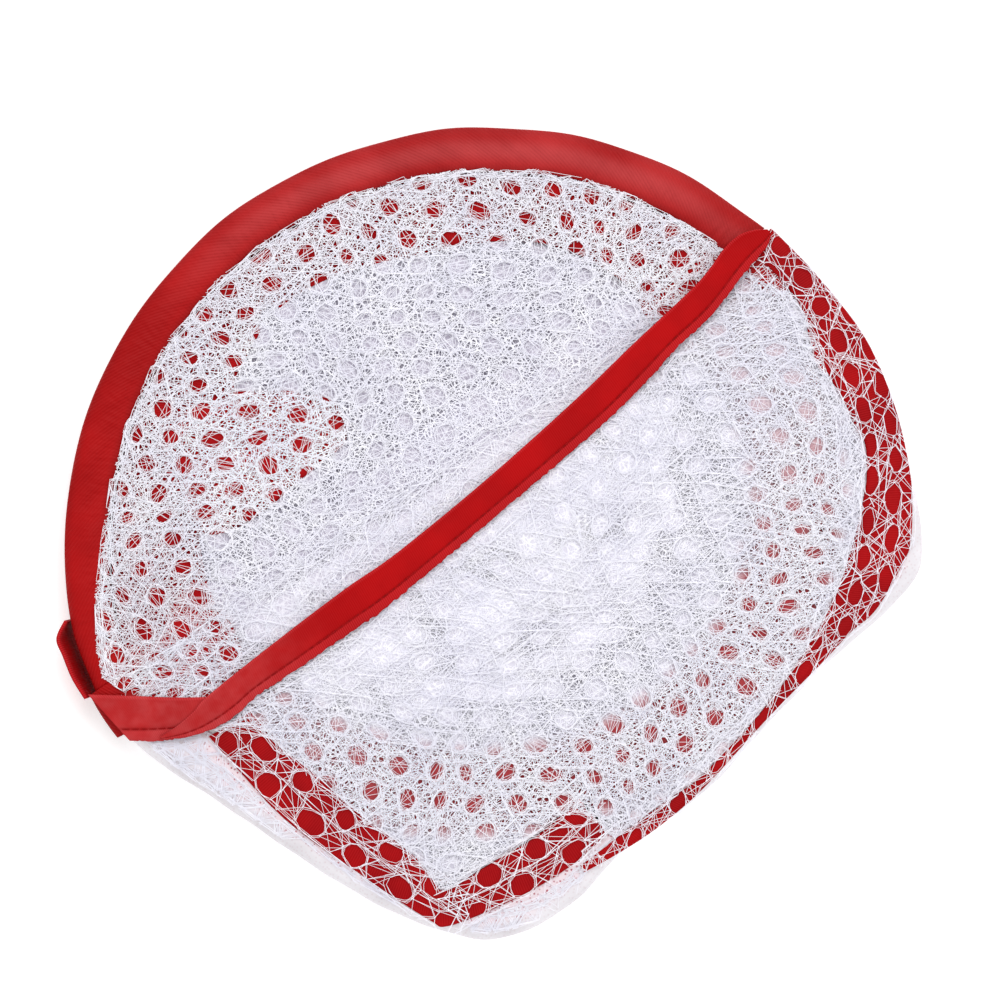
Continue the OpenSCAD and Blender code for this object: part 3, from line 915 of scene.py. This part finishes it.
def half_turn_sweep(node, out, stations):
    """The way of a half-turn from the fold line back to it, at distances out from its arc: for each station its share
    of the way, and its distance and angle about the arc's centre and the length run there."""
    _, left_u, right_u, _, _, set_back, _ = TURNS[node]
    radius = math.hypot((right_u - left_u) / 2, set_back)
    arm = radius + out
    dip = np.arcsin(np.clip((set_back + FOLD_GAP) / arm, -1, 1))
    share = np.linspace(0, 1, stations)[:, None]
    angle = (math.pi - dip) + (2 * dip - math.pi) * share
    return share, arm, angle, radius * (math.pi - angle)


def half_turn_casing(node, stations, puff, seed, pull):
    """The casing of one half-turn of the hoop, a puffed and puckered tube from the fold line back to it."""
    s, z, around = casing_section(13)
    s[0], z[0] = -CASING_W / 2, 0.0
    share, arm, angle, run = half_turn_sweep(node, s[None, :], stations)
    # soft puckers that lean across the tube, strongest on its inner half
    lean = paired(run + 1.1 * s * np.sign(z + 1e-6), s * 0.6)
    pucker = ripple(lean, 9.0, seed, 9) * 0.085 + ripple(lean, 23.0, seed + 1) * 0.10
    inner = np.clip((WIRE_SHIFT - s) / (CASING_W / 2 + WIRE_SHIFT), 0, 1)
    crease = np.sin(run * 2 * math.pi / 2.3 + 2 * ripple(lean, 31.0, seed + 2)) * 0.07 * inner * (1 - inner) * 4
    arm = arm + puff * 0.22 * ripple(paired(run, 0), 34.0, seed + 3) * np.where(s > 0, 1.0, 0.7)
    if pull is not None:
        arm = arm - pull(share) * np.clip((s + CASING_W / 2) / CASING_W + 0.6, 0, 1)
    rings = half_turn_rings(node, angle, arm, z * (1 + puff * (pucker + crease)))
    return closed_sweep(node + "_cloth", rings, paired(run, around), CASING)


def make_casings():
    for number, node in enumerate(TURNS):
        pull = None
        if node in PULLS:
            most, place, spread = PULLS[node]
            pull = lambda share: most * np.exp(-((share - place) / spread) ** 2)
        if node in ("outer_casing", "inner_casing"):
            half_turn_wire(node, pull)
        obj = half_turn_casing(node, 420 if node == "top_casing" else 220, PUFFS.get(node, 0.8), 20 + number, pull)
        settle(obj, TURNS[node][-1], node)


def half_turn_wire(casing, pull):
    """The spring wire inside a half-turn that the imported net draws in."""
    node = casing.replace("casing", "wire")
    share, arm, angle, run = half_turn_sweep(casing, WIRE_SHIFT, 200)
    around = np.linspace(0, 2 * math.pi, 12, endpoint=False)[None, :]
    arm = arm - pull(share) + WIRE_R * np.cos(around)
    rings = half_turn_rings(casing, angle, arm, WIRE_R * np.sin(around) + 0 * arm)
    wire = closed_sweep(node + "_drawn_in", rings, paired(run, around * WIRE_R), STEEL)
    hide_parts(node)
    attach(wire, TURNS[casing][-1])


def make_crossing_casing():
    """The rim's casing where it runs on past the fold line and under the corner tape."""
    share = np.linspace(0, 1, 40)[:, None]
    angle = np.radians(np.linspace(197.2, 206.5, 40))[:, None]
    s, z, around = casing_section(12)
    arm = COIL_R + s[None, :] - 3.0 * share ** 1.5
    flat = COIL_CENTRE + arm[..., None] * ray(angle)
    past = fold_side(flat)
    flat = flat + (np.minimum(past, -0.25) - past)[..., None] * FOLD_OUT
    rings = raised(flat, HIGH_Z + 0.05 + np.broadcast_to(np.where(z < 0, z * 0.4, z), arm.shape))
    settle(closed_sweep("crossing_casing_cloth", rings, paired(angle * COIL_R, around), CASING), "bundle")


# ---------------------------------------------------------------- tapes

def tape_between(name, first, second, base, height, finish, profile, stations, seed, wave=0.0):
    """A tape whose two edges follow two lines. profile lists (share across, height, UV across in mm), and wave is how
    far its second edge wanders."""
    a, b = resample(first, stations), resample(second, stations)
    run = lengths((a + b) / 2)
    share, lift, uv = np.array(profile).T
    top = a[:, None] + (b - a)[:, None] * share[None, :, None]
    if wave:
        places = np.arange(0, run[-1] + 2, 0.9)
        edge = wave * np.interp(run, places, np.random.default_rng(seed).normal(0, 0.75, len(places)))
        away = (b - a) / np.linalg.norm(b - a, axis=1)[:, None]
        top[:, -1] += away * edge[:, None]
        top[:, -2] += away * edge[:, None] * 0.6
    upper = base + lift * height + ripple(top, 16, seed + 1) * 0.05 + ripple(top, 7, seed + 2) * 0.025
    rings = raised(np.concatenate([top, top[:, ::-1]], 1), np.concatenate([upper, np.full(upper.shape, base)], 1))
    return closed_sweep(name, rings, paired(run[:, None], np.concatenate([uv, uv[::-1]])), finish)


# share across from the folded edge to the flange, height, and place across in millimetres
GROUND_PROFILE = [
    (0.0, 0.45, 6.0), (0.012, 0.78, 5.9), (0.04, 0.96, 5.5), (0.075, 1.0, 5.1), (0.10, 0.93, 4.8),
    (0.13, 0.90, 4.5), (0.30, 0.97, 2.4), (0.50, 0.98, 0.0), (0.62, 0.94, -1.4), (0.69, 0.85, -2.3),
    (0.725, 0.62, -2.7), (0.75, 0.60, -3.0), (0.78, 0.76, -3.4), (0.84, 0.78, -4.1), (0.93, 0.70, -5.1),
    (0.985, 0.55, -5.8), (1.0, 0.3, -6.0)]
FLAT_PROFILE = [(0.0, 0.4, 5.5), (0.02, 0.85, 5.3), (0.10, 1.0, 4.5), (0.35, 0.9, 2.0), (0.6, 0.95, -1.0),
                (0.8, 1.0, -3.3), (0.86, 0.75, -3.9), (0.93, 0.95, -4.7), (0.985, 0.85, -5.3), (1.0, 0.4, -5.5)]

GROUND_UPPER = [[83, 91.2], [79, 91], [74.4, 89.4], [69.8, 85.2], [66, 79.8], [60, 73], [42.6, 56.7], [25.5, 40.2],
    [-0.6, 16.8], [-27.6, -5.4], [-43.5, -16.5], [-63.3, -31.5], [-84, -48], [-88.6, -53], [-93.4, -57.2],
    [-98.6, -60.6]]
GROUND_LOWER = [[84.4, 89.6], [82.8, 86], [79.4, 81.8], [75.4, 77], [66, 65], [56.4, 56.1], [46.2, 45], [35.1, 33.9],
    [15.3, 16.8], [-27.6, -19.2], [-38.7, -27.3], [-52.5, -36.9], [-69, -48], [-75, -53.4], [-82, -58], [-90, -60.6],
    [-98.4, -61.4]]
CORNER_UPPER = [[-120.4, -48], [-108, -48.4], [-95, -48.9], [-84, -48.6], [-76.5, -46.5]]
CORNER_LOWER = [[-107.7, -62.1], [-101, -62], [-94.5, -61.4], [-86.5, -59.4], [-78, -55.5]]
STITCH_PITCH, STITCH_LENGTH, STITCH_WIDTH = 2.7, 2.1, 0.34
STITCH_SHARE = 0.738  # where the stitches run, as a share of the tape's width


def stitches(name, first, second, height):
    """A row of sewn stitches along a tape's groove."""
    line = resample(first, 400) * (1 - STITCH_SHARE) + resample(second, 400) * STITCH_SHARE
    starts = np.arange(1.0, lengths(line)[-1] - STITCH_LENGTH, STITCH_PITCH)
    steps = np.linspace(0, 1, 5)
    flat = np.array([at(line, start + steps * STITCH_LENGTH) for start in starts])
    z = height + 0.12 * np.sin(math.pi * steps)[None, :] + 0 * flat[..., 0]
    settle(spin_yarn(name, [(raised(flat, z), False)], STITCH_WIDTH, SEWING, sides=5), "bundle")


def make_tapes():
    # name, edges, underside, thickness, finish, stations, seed, height of the thread over the underside
    tapes = (("ground_tape", GROUND_UPPER, GROUND_LOWER, TAPE_Z, 1.0, TAPE, 900, 5, 0.66),
             ("corner_tape", CORNER_UPPER, CORNER_LOWER, CORNER_Z, 0.95, CORNER_TAPE, 160, 8, 0.64))
    for name, upper, lower, z, height, finish, stations, seed, _ in tapes:
        tape = tape_between(name + "_cloth", smooth(upper, 6), smooth(lower, 6), z, height, finish, GROUND_PROFILE,
                            stations, seed, 0.2)
        settle(tape, "bundle", "ground_tape" if finish is TAPE else None)
    for name, upper, lower, z, *_, thread_height in tapes:
        stitches(name + "_stitches", smooth(upper, 6), smooth(lower, 6), z + thread_height)


# ---------------------------------------------------------------- hems

RIGHT_INNER = [[78.6, 86.5], [81.8, 81.9], [90.3, 72.6], [93.9, 66], [97.5, 51.3], [102, 46.2], [106.2, 39],
    [109.8, 31.2], [112.5, 26.7], [112.8, 16.2], [111.6, 9.6], [108.9, -1.2], [106.2, -10.8], [103.2, -18.3],
    [99.9, -25.5], [92.7, -37.8], [85.2, -48.3], [77.1, -58.2], [70.2, -65.4], [62, -73.8], [52.2, -80.4],
    [40, -89.5], [27, -99.4]]
FRONT_INNER = [[-71.5, -53], [-64, -62.6], [-51.4, -72.6], [-37.9, -84.6], [-26.2, -93], [-17, -103], [-13.4, -106.8],
    [0, -98.8], [12.6, -91.4], [21, -84.6], [26.6, -79.2]]
FRONT_OUTER = [[-84.5, -60.8], [-75, -71.2], [-60, -86.8], [-34, -105.4], [-18, -115.8], [-12.9, -117.6], [0, -112.8],
    [15, -105.4], [27, -97.4], [35.4, -89.6]]
RIGHT_OUTER = [[84.2, 91.6], [88.6, 87.4], [98, 77.5], [112, 59.5], [120.8, 40], [125.6, 20.5], [126.6, 8], [126, -3],
    [123.8, -8.6], [118.2, -18.9], [114, -24.6], [108, -29.5], [100.5, -37.6], [83.6, -54.8], [64, -76.2],
    [50, -88.2], [38, -96], [28.2, -101.4]]


def make_hems():
    for name, inner, outer, steps, stations, seed in (("right_hem", RIGHT_INNER, RIGHT_OUTER, 5, 420, 31),
                                                      ("front_hem", FRONT_INNER, FRONT_OUTER, 6, 300, 37)):
        hem = tape_between(name + "_cloth", smooth(inner, steps), smooth(outer, steps), HEM_Z, 0.8, HEM, FLAT_PROFILE,
                           stations, seed)
        settle(hem, "bundle", name + "_tape")


# ---------------------------------------------------------------- the keeper ribbon

def make_keeper():
    """The ribbon that stands on the rim: it leans out from its foot, and its section is a thin strip."""
    stand = [(189.2, 0.95), (191.3, 4.2), (193.6, 3.5), (196.8, 2.6), (199.9, 0.95)]  # angle, distance from the rim
    half_t, low, high, levels = 0.45, 0.3, 14.9, 15
    rim = COIL_R + CASING_W / 2
    degrees, out = np.array(stand).T
    line = resample(smooth(COIL_CENTRE + (rim + out)[:, None] * ray(np.radians(degrees)), 8), 60)
    z = np.linspace(low, high, levels)
    outward = (line - COIL_CENTRE) / np.linalg.norm(line - COIL_CENTRE, axis=1)[:, None]
    turned = np.degrees(np.arctan2(outward[:, 1], outward[:, 0])) % 360
    # the foot follows the rim where it is drawn in: by how much, from what angle, and over how many degrees
    drawn, drawn_from, drawn_over = 2.5, 198.8, 148.4 * 0.045
    inwards = drawn * np.exp(-(np.clip(drawn_from - turned, 0, 99) / drawn_over) ** 2)
    foot = COIL_CENTRE + (rim + 0.7 - inwards)[:, None] * outward
    up = np.linspace(0, 1, levels)[:, None] ** 0.8
    wall = foot[:, None] + (line - foot)[:, None] * up
    side = left_of(line)[:, None] * half_t
    height = np.broadcast_to(z, wall.shape[:2])
    rings = np.concatenate([raised(wall - side, height), raised(wall + side, height)[:, ::-1]], 1)
    cloth = paired(lengths(line)[:, None], np.concatenate([z, z[::-1]]) - 7.5)
    settle(closed_sweep("keeper_ribbon_cloth", rings, cloth, RIBBON), "bundle", "keeper_ribbon")


# ---------------------------------------------------------------- nets

def fold_sheet(name, outline, centre, top, under, finish, seed, rings=26, rough=0.25):
    """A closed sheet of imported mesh: the outline drawn in towards a centre, puffed a little between."""
    share = np.linspace(1, 0, rings, endpoint=False)[:, None, None]
    plan = centre + (outline - centre)[None] * share
    bumpy = ripple(plan, 21, seed) * rough + ripple(plan, 8, seed + 1) * rough * 0.4
    edge = np.clip((1 - share[..., 0]) * 9, 0, 1) ** 0.6
    crown, below = heights(top, plan), heights(under, plan)
    over = below + (crown - below) * (0.25 + 0.75 * edge) + bumpy * edge
    count = len(outline)
    verts = [raised(plan, over).reshape(-1, 3), [[*centre, over[-1].mean()]],
             raised(plan, below).reshape(-1, 3), [[*centre, below[-1].mean()]]]
    half = rings * count + 1
    i = np.arange(rings * count).reshape(rings, count)
    j = np.roll(i, -1, axis=1)
    quads = np.stack([i[:-1], j[:-1], j[1:], i[1:]], -1).reshape(-1, 4)
    fan = np.stack([i[-1], j[-1], np.full(count, half - 1)], -1)
    rim = np.stack([i[0] + half, j[0] + half, j[0], i[0]], -1)
    faces = quads.tolist() + fan.tolist() + rim.tolist() + (quads[:, ::-1] + half).tolist() \
        + (fan[:, ::-1] + half).tolist()
    obj = new_object(name, np.vstack(verts), faces=faces, finish=finish)
    face_out(obj.data, smooth_sides=True)
    return obj


def on_casing(flat, base):
    """Height of mesh that lies at base and laps over the rim casing's inner edge."""
    away = flat - COIL_CENTRE
    to_left = np.clip(open_span(COIL_R)[0] - np.arctan2(away[..., 1], away[..., 0]) % (2 * math.pi), 0, 3)
    out = np.linalg.norm(away, axis=-1) - COIL_R + RIM_DRAW * np.exp(-(to_left / 0.116) ** 2)
    lap = soft_step((out + 9.5) / 4.0)  # from the net's own height to the casing's, 4 mm wide
    return base * (1 - lap) + (HIGH_Z + half_height(np.clip(out, -6.7, 6)) + 0.45) * lap


def to_fold(base, low):
    """Height of mesh on the closed side: level, then down to the upper leaf's mesh at the fold line."""
    return lambda flat: base + (low - base) * soft_step((fold_side(flat) + 24) / 24)


def rim_lap(radius, steps, reach, seed):
    """The cut edge of the mesh on the casing: straight runs between uneven corners."""
    r = np.random.default_rng(seed)
    first, last = open_span(radius)
    angle = np.linspace(first, last, steps) + r.normal(0, 0.018, steps)
    angle[0], angle[-1] = first, last
    out = radius + r.uniform(-reach, reach, steps) + 7.0 * np.exp(-((angle - first) / 0.233) ** 2)
    return COIL_CENTRE + out[:, None] * ray(angle)


def courses(edge, height, count, seed):
    """Long yarns that run with the mesh's edge, just inside it."""
    r = np.random.default_rng(seed)
    line = resample(edge, 240)
    inward = (COIL_CENTRE - line) / np.linalg.norm(COIL_CENTRE - line, axis=1)[:, None]
    made = []
    for k in range(count):
        wander = ripple(paired(lengths(line), 0), 13 + 5 * k, seed + k)
        flat = line + inward * (1.5 + 1.1 * k / count + 0.3 * wander)[:, None]
        made.append(raised(flat, height(flat) + r.uniform(0.0, 0.3)))
    return [(np.array(made), False)]


def make_top_net():
    tail = np.array([on_fold(u, -5) for u in (113, 60, 0, -60, -114)])
    seam = COIL_R - CASING_W / 2
    bend = on_fold(0, -8, 13), on_fold(0, 4, 13)
    # label, height, the grid's turn and start, seed, lap over the casing's seam, crossings, where the ground starts
    for label, z, turn, origin, seed, lap, crossings, least in (
            ("upper", 13.9, 0, (0, 0), 41, 1.1, 6, -99), ("second", 13.45, 0.3, (0.5, 0.3), 47, 0.4, 5, 0)):
        edge = rim_lap(seam + lap, 38, 0.7, seed)
        height = lambda flat: on_casing(flat, z)
        layer = Layer(fine_knit(crossings, 0.85), on_fold(0, 55), 150, seed, 40, turn, origin)
        lines = lay_mesh(layer, np.vstack([edge, tail]), height)
        obj = spin_yarn("top_net_" + label, lines + courses(edge, height, 3, seed + 7))
        under = np.vstack([rim_lap(seam + lap - 0.6, 90, 0.3, seed), tail])
        ground = lay_ground("top_net_ground_" + label, layer, under, lambda flat: on_casing(flat, z - 0.25),
                            lambda flat: fold_side(flat) > least)
        for piece, cover in ((obj, YARN_COVER), (ground, GROUND_COVER)):
            settle(piece, None, "top_net" if piece.name == "top_net_upper" else None, 0.24,
                   cover)
            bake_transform(piece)

    # the hem that runs round inside the rim, under the mesh
    share = np.linspace(0, 1, 120)
    reach = 95.5 - 12 * np.exp(-(share / 0.26) ** 2) - 4 * np.exp(-((1 - share) / 0.4) ** 2) + 2 * np.sin(share * 17)
    sides = []
    for radius in (reach, np.full(120, 113.4)):
        left, right = (math.asin((COIL_SET_BACK + 1.0) / radius[k]) for k in (0, -1))
        way = math.radians(FOLD_DEG) + math.pi - left + (right + left - math.pi) * share
        sides.append(COIL_CENTRE + radius[:, None] * ray(way))
    band = tape_between("top_net_rim_hem", *sides, 12.25, 0.5, HEM, FLAT_PROFILE, 260, 69)
    settle(band, "top_leaf", None, 0.022)

    # a red hem folded in under the upper mesh, near the rim
    patch = smooth([[-91, 40], [-72, 43], [-49, 41], [-43, 29], [-56, 17], [-72, 4], [-87, 0], [-97, 12], [-99, 27],
                    [-91, 40]], 6)[:-1]
    fold = fold_sheet("top_net_turned_hem", patch, patch.mean(0), 13.05, 12.45, HEM, 67, 10, 0.05)
    settle(fold, "top_leaf", None, 0.05)


def make_middle_net():
    radius = math.hypot(INNER_U, INNER_SET_BACK) - CASING_W / 2 + 0.4
    dip = math.degrees(math.asin(INNER_SET_BACK / radius))
    outline = arc(on_fold(0, -INNER_SET_BACK), radius, FOLD_DEG + dip + 0.3, FOLD_DEG + 180 - dip - 0.3, 90)
    folds = fold_sheet("middle_net_folds", outline, on_fold(0, 30),
                       lambda plan: 12.35 - 1.3 * np.clip(1 - fold_side(plan) / 9, 0, 1), 7.6, PACKED, 61)
    settle(folds, "middle_leaf", "middle_net", 0.16)

    # the same folds where they bend over the fold line
    reach = INNER_U - CASING_W / 2 - 3
    edge = [(-reach, -5), (-reach + 6, -9), (0, -11), (reach - 6, -9), (reach, -5), (reach, 4), (reach - 5, 9),
            (0, 11), (-reach + 5, 9), (-reach, 4), (-reach, -5)]
    edge = smooth([on_fold(*place) for place in edge], 8)[:-1]
    bend = fold_sheet("middle_net_bend", edge, FOLD_MID, 12.7, 12.1, PACKED, 63, 20, 0.1)
    settle(bend, None, None, 0.17)
    on_fold(0, -6, 12.6)
    on_fold(0, 6, 12.6)
    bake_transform(bend)


def make_lower_net():
    well = arc(FOLD_MID, INNER_U - CASING_W / 2 - 1, FOLD_DEG, FOLD_DEG - 180, 60)
    outline = np.vstack([open_arc(COIL_R - CASING_W / 2 + 0.4), well])

    def puffed(plan):
        """Low under the inner turn, and puffed up between it and the rim."""
        out = np.linalg.norm(plan - COIL_CENTRE, axis=-1)
        inner = np.linalg.norm(plan - FOLD_MID + INNER_SET_BACK * FOLD_OUT, axis=-1)
        room = np.clip(np.minimum(113.5 - out, inner - 99.5) / 4, 0, 1) * np.clip(fold_side(plan) / 6, 0, 1)
        return 4.6 + 6.2 * soft_step(room)

    obj = fold_sheet("lower_net_folds", outline, FOLD_MID, puffed, 2.8, PACKED, 71, 60)
    settle(obj, "bundle", "lower_net", 0.24)


LOWER_MIDDLE = on_fold(0, -45)
# Where red hems are turned in under the mesh at the crossings, along the fold line and square to it
TURNED_HEMS = {
    "lower": [(-112, 4), (-98, 4.5), (-84, 4), (-76, -4), (-79, -18), (-88, -24), (-99, -25), (-107, -17), (-113, -9),
              (-116, -1), (-112, 4)],
    "upper": [(80, 4), (96, 4.5), (112, 4), (113, -4), (96, -7), (80, -4), (80, 4)]}


def make_packed_net():
    well = arc(FOLD_MID + np.array([2.0, -2.0]), 80, FOLD_DEG - 2, FOLD_DEG - 178, 90)
    well = well + (well - FOLD_MID) * (ripple(well, 26, 8)[:, None] * 0.03)
    well = well[fold_side(well) < -0.5]
    folds = fold_sheet("packed_net_folds", well, on_fold(0, -28), to_fold(15.75, 13.0), 11.2, WELL, 83, rough=0.16)
    settle(folds, "bundle", "packed_net", 0.17)
    around_well = lambda flat: ~inside(flat, well * 0.97 + FOLD_MID * 0.03)
    # label, height, the grid's turn and start, seed, crossings, where its yarns lie, where the ground ends
    for label, z, turn, origin, seed, crossings, trim, most in (
            ("upper", 16.25, 0, (0.4, 0.3), 81, 6, None, -1.5),
            ("second", 15.85, -0.3, (0.7, -0.3), 85, 5, around_well, -6)):
        layer = Layer(fine_knit(crossings, 0.75), LOWER_MIDDLE, 150, seed, 90, turn, origin)
        obj = spin_yarn("packed_net_" + label, lay_mesh(layer, PACKED_LINE, to_fold(z, z - 2.6), trim=trim))
        ground = lay_ground("packed_net_ground_" + label, layer, PACKED_LINE, to_fold(z - 0.2, z - 2.8),
                            lambda flat: fold_side(flat) < most)
        for piece, cover in ((obj, YARN_COVER), (ground, GROUND_COVER)):
            settle(piece, "bundle", None, 0.22, cover)

    # folds that fill the pack between the well and its edge
    middle = on_fold(0, -40)
    ring = middle + (PACKED_LINE[fold_side(PACKED_LINE) < -1] - middle) * 1.02
    filling = fold_sheet("packed_net_filling", ring, middle, to_fold(15.2, 12.7), to_fold(14.9, 12.4), WELL, 89, 40,
                         0.08)
    settle(filling, "bundle", None, 0.21)

    for label, places in TURNED_HEMS.items():
        plan = smooth([on_fold(*place) for place in places], 5)[:-1]
        hem = fold_sheet("packed_net_turned_hem_" + label, plan, plan.mean(0), to_fold(15.5, 12.95),
                         to_fold(15.3, 12.75), HEM, 93, 10, 0.04)
        settle(hem, "bundle", None, 0.03)


TALL = Knit(first=(5.6, -7.4), second=(11.2, 0.0), hole=(4.3, 2.25), crossings=6, uneven=0.05, loops=2, stray=0.03,
            turning=(175, 205, (3.7, 3.1)))
BROAD = Knit(first=(8.4, -7.2), second=(16.8, 0.0), hole=(4.0, 3.4), crossings=7, uneven=0.04, loops=3, stray=0.03)
# The line that the mesh over the right hem follows: straighter than the hem itself
RIGHT_GRAIN = [[70, -125], [84, -94], [96, -62], [108, -28], [115, 4], [114, 34], [103, 64], [86, 90], [70, 112]]


def make_front_net():
    grain = smooth(RIGHT_GRAIN, 12)
    inner, outer = smooth(RIGHT_INNER, 5), smooth(RIGHT_OUTER, 5)
    wider = np.vstack([outer + 0.9 * left_of(outer), (inner - 3.5 * left_of(inner))[::-1]])
    band = lay_band(grain, TALL, -6, lengths(grain)[-1] + 6, -22, 80, 16.85, 101, row=1.5, phase=3.0, outline=wider)
    for number, (inner, outer) in enumerate(((FRONT_INNER[:7], FRONT_OUTER[:6]), (FRONT_INNER[6:], FRONT_OUTER[5:]))):
        middle = (resample(smooth(inner, 8), 60) + resample(smooth(outer, 8), 60)) / 2
        before = middle[:1] + (middle[:1] - middle[1:2]) * 6
        after = middle[-1:] + (middle[-1:] - middle[-2:-1]) * 6
        middle = np.vstack([before, middle, after])
        band += lay_band(middle, BROAD, 0, lengths(middle)[-1] + 2, -8, 9.0, 16.8, 111 + number, row=3.6, phase=4.0)
    settle(spin_yarn("front_net_band", band), "bundle", None, 0.34, YARN_COVER)
    layer = Layer(fine_knit(6, 0.6), LOWER_MIDDLE, 150, 91, 90)
    fray = np.random.default_rng(17).uniform(-1.2, 2.4, len(PACKED_LINE)) * (fold_side(PACKED_LINE) < -4)
    field = lay_mesh(layer, PACKED_LINE + left_of(PACKED_LINE) * fray[:, None], to_fold(16.9, 14.2))
    settle(spin_yarn("front_net_field", field), "bundle", "front_net", 0.24, YARN_COVER)


ROLL_T = 0.35


def rim_roll(name, line, profile, seed):
    """A strip rolled round the pack's edge. profile lists (distance inwards, height) from top to underside."""
    run = lengths(line)
    mid = np.array(profile)
    out = left_of(mid) * ROLL_T / 2
    skin = np.vstack([mid + out, (mid - out)[::-1]])
    fade = np.clip(np.minimum(run, run[-1] - run) / 12, 0, 1)
    wander = 0.12 * ripple(paired(run, 0), 19, seed) * fade
    x = skin[None, :, 0] + wander[:, None] * np.clip((skin[None, :, 1] - 1) / 8, 0, 1) + 0.3
    rings = raised(line[:, None] + left_of(line)[:, None] * x[..., None], np.broadcast_to(skin[None, :, 1], x.shape))
    return closed_sweep(name, rings, paired(run[:, None], skin[:, 0]), FILM)


# Section of the selvedge film from the top round to the underside: distance inwards and height
FILM_PROFILE = [(17.0, 15.0), (14.0, 15.05), (11.0, 15.1), (8.5, 15.15), (5.8, 15.2), (3.2, 14.6), (1.2, 12.6),
                (0.2, 9.5), (0.0, 6.5), (0.5, 3.4), (2.2, 1.2), (5.0, 0.6), (8.0, 0.5)]
FRINGE = Knit(first=(7.5, -0.5), second=(4.8, 5.6), hole=(1.3, 1.0), crossings=8, uneven=0.2)


def make_base_net():
    outline = np.vstack([CLOSED_LINE, open_arc(COIL_R + CASING_W / 2 - 2.5)])
    mesh = lay_mesh(Layer(Knit(crossings=6), FOLD_MID, 190, 95, 95, 9), outline, 0.55)
    settle(spin_yarn("base_net_mesh", mesh), "bundle", "base_net", 0.25, YARN_COVER)

    edge = CLOSED_LINE[::-1]
    run = lengths(edge)

    def place(x, y):
        return run[int(np.argmin(np.linalg.norm(edge - np.array([x, y]), axis=1)))]

    for label, first, last, rows in (("front", run[0] + 18, place(42, -94), FILM_PROFILE),
                                     ("right", place(42, -94) - 0.6, place(128.5, 12), FILM_PROFILE[3:])):
        film = rim_roll("base_net_selvedge_" + label, at(edge, np.linspace(first, last, 150)), rows, 5)
        settle(film, "bundle", None, 0.036)
    pack = np.vstack([smooth(FRONT_OUTER, 6), [[60, -60], [0, 0], [-80, -40]]])
    fringe = []
    for seed, z in ((121, 15.75), (123, 15.5), (125, 15.4)):
        fringe += lay_band(edge, FRINGE, run[0] + 17, place(40, -95), 2.0, 19.0,
                           lambda flat, t: z - 2.4 * np.clip((4.5 - t) / 4.5, 0, 1) ** 2, seed,
                           trim=lambda flat: ~inside(flat, pack))
    settle(spin_yarn("base_net_fringe", fringe), "bundle", None, 0.21, YARN_COVER)


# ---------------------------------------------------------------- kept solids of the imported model

def finish_nodes():
    """Paints the wires that show as they are, and the ferrule."""
    for node in ("lower_wire", "rising_wire", "middle_wire", "top_wire", "wire_ferrule"):
        mesh = frame["nodes"][node].data
        mesh.materials.clear()
        mesh.materials.append(CRIMP if node == "wire_ferrule" else STEEL)


# ---------------------------------------------------------------- studio

FRAME_W, CAMERA_H, SENSOR_W = 0.300, 1.5, 36  # metres across the frame, metres up to the camera, its sensor in mm
PACK_TOP = 0.014  # the height at which the frame is measured


def make_studio():
    f = Finish("studio_floor")
    pale = f.node("ShaderNodeEmission", None, {"Color": (1, 1, 1, 1), "Strength": 0.30}).out()
    paper = f.shader(Base_Color=(0.92, 0.92, 0.92, 1), Roughness=0.9)
    f.surface(f.node("ShaderNodeAddShader", None, {0: paper, 1: pale}).out())
    bpy.ops.mesh.primitive_plane_add(size=6, location=(0, 0, -0.0002))
    floor = bpy.context.object
    floor.name = "studio_floor"
    floor.data.materials.append(f.material)

    world = bpy.data.worlds.new("studio")
    bpy.context.scene.world = world
    world.use_nodes = True
    world.node_tree.nodes.clear()
    back = add_node(world.node_tree, "ShaderNodeBackground", None, {"Color": (1, 1, 1, 1), "Strength": 0.80})
    add_node(world.node_tree, "ShaderNodeOutputWorld", None, {"Surface": back[0]})

    def lamp(name, place, size, power):
        light = bpy.data.lights.new(name, "AREA")
        light.shape, light.size, light.energy = "SQUARE", size, power
        obj = add_object(name, light)
        obj.location = place
        obj.rotation_euler = (-Vector(place)).to_track_quat("-Z", "Y").to_euler()

    lamp("key_lamp", (0.0, 0.95, 1.45), 0.9, 12)
    lamp("fill_lamp", (0.9, -0.3, 1.3), 1.2, 3)

    camera = bpy.data.cameras.new("camera")
    camera.sensor_width = SENSOR_W
    camera.lens = SENSOR_W * CAMERA_H / FRAME_W
    camera.clip_end = 10
    obj = add_object("camera", camera)
    obj.location = (0.003, 0.0102, CAMERA_H + PACK_TOP)
    bpy.context.scene.camera = obj
    bpy.context.scene.view_settings.view_transform = "Standard"


make_casings()
make_crossing_casing()
make_tapes()
make_hems()
make_keeper()
make_top_net()
make_middle_net()
make_lower_net()
make_packed_net()
make_front_net()
make_base_net()
finish_nodes()
make_studio()
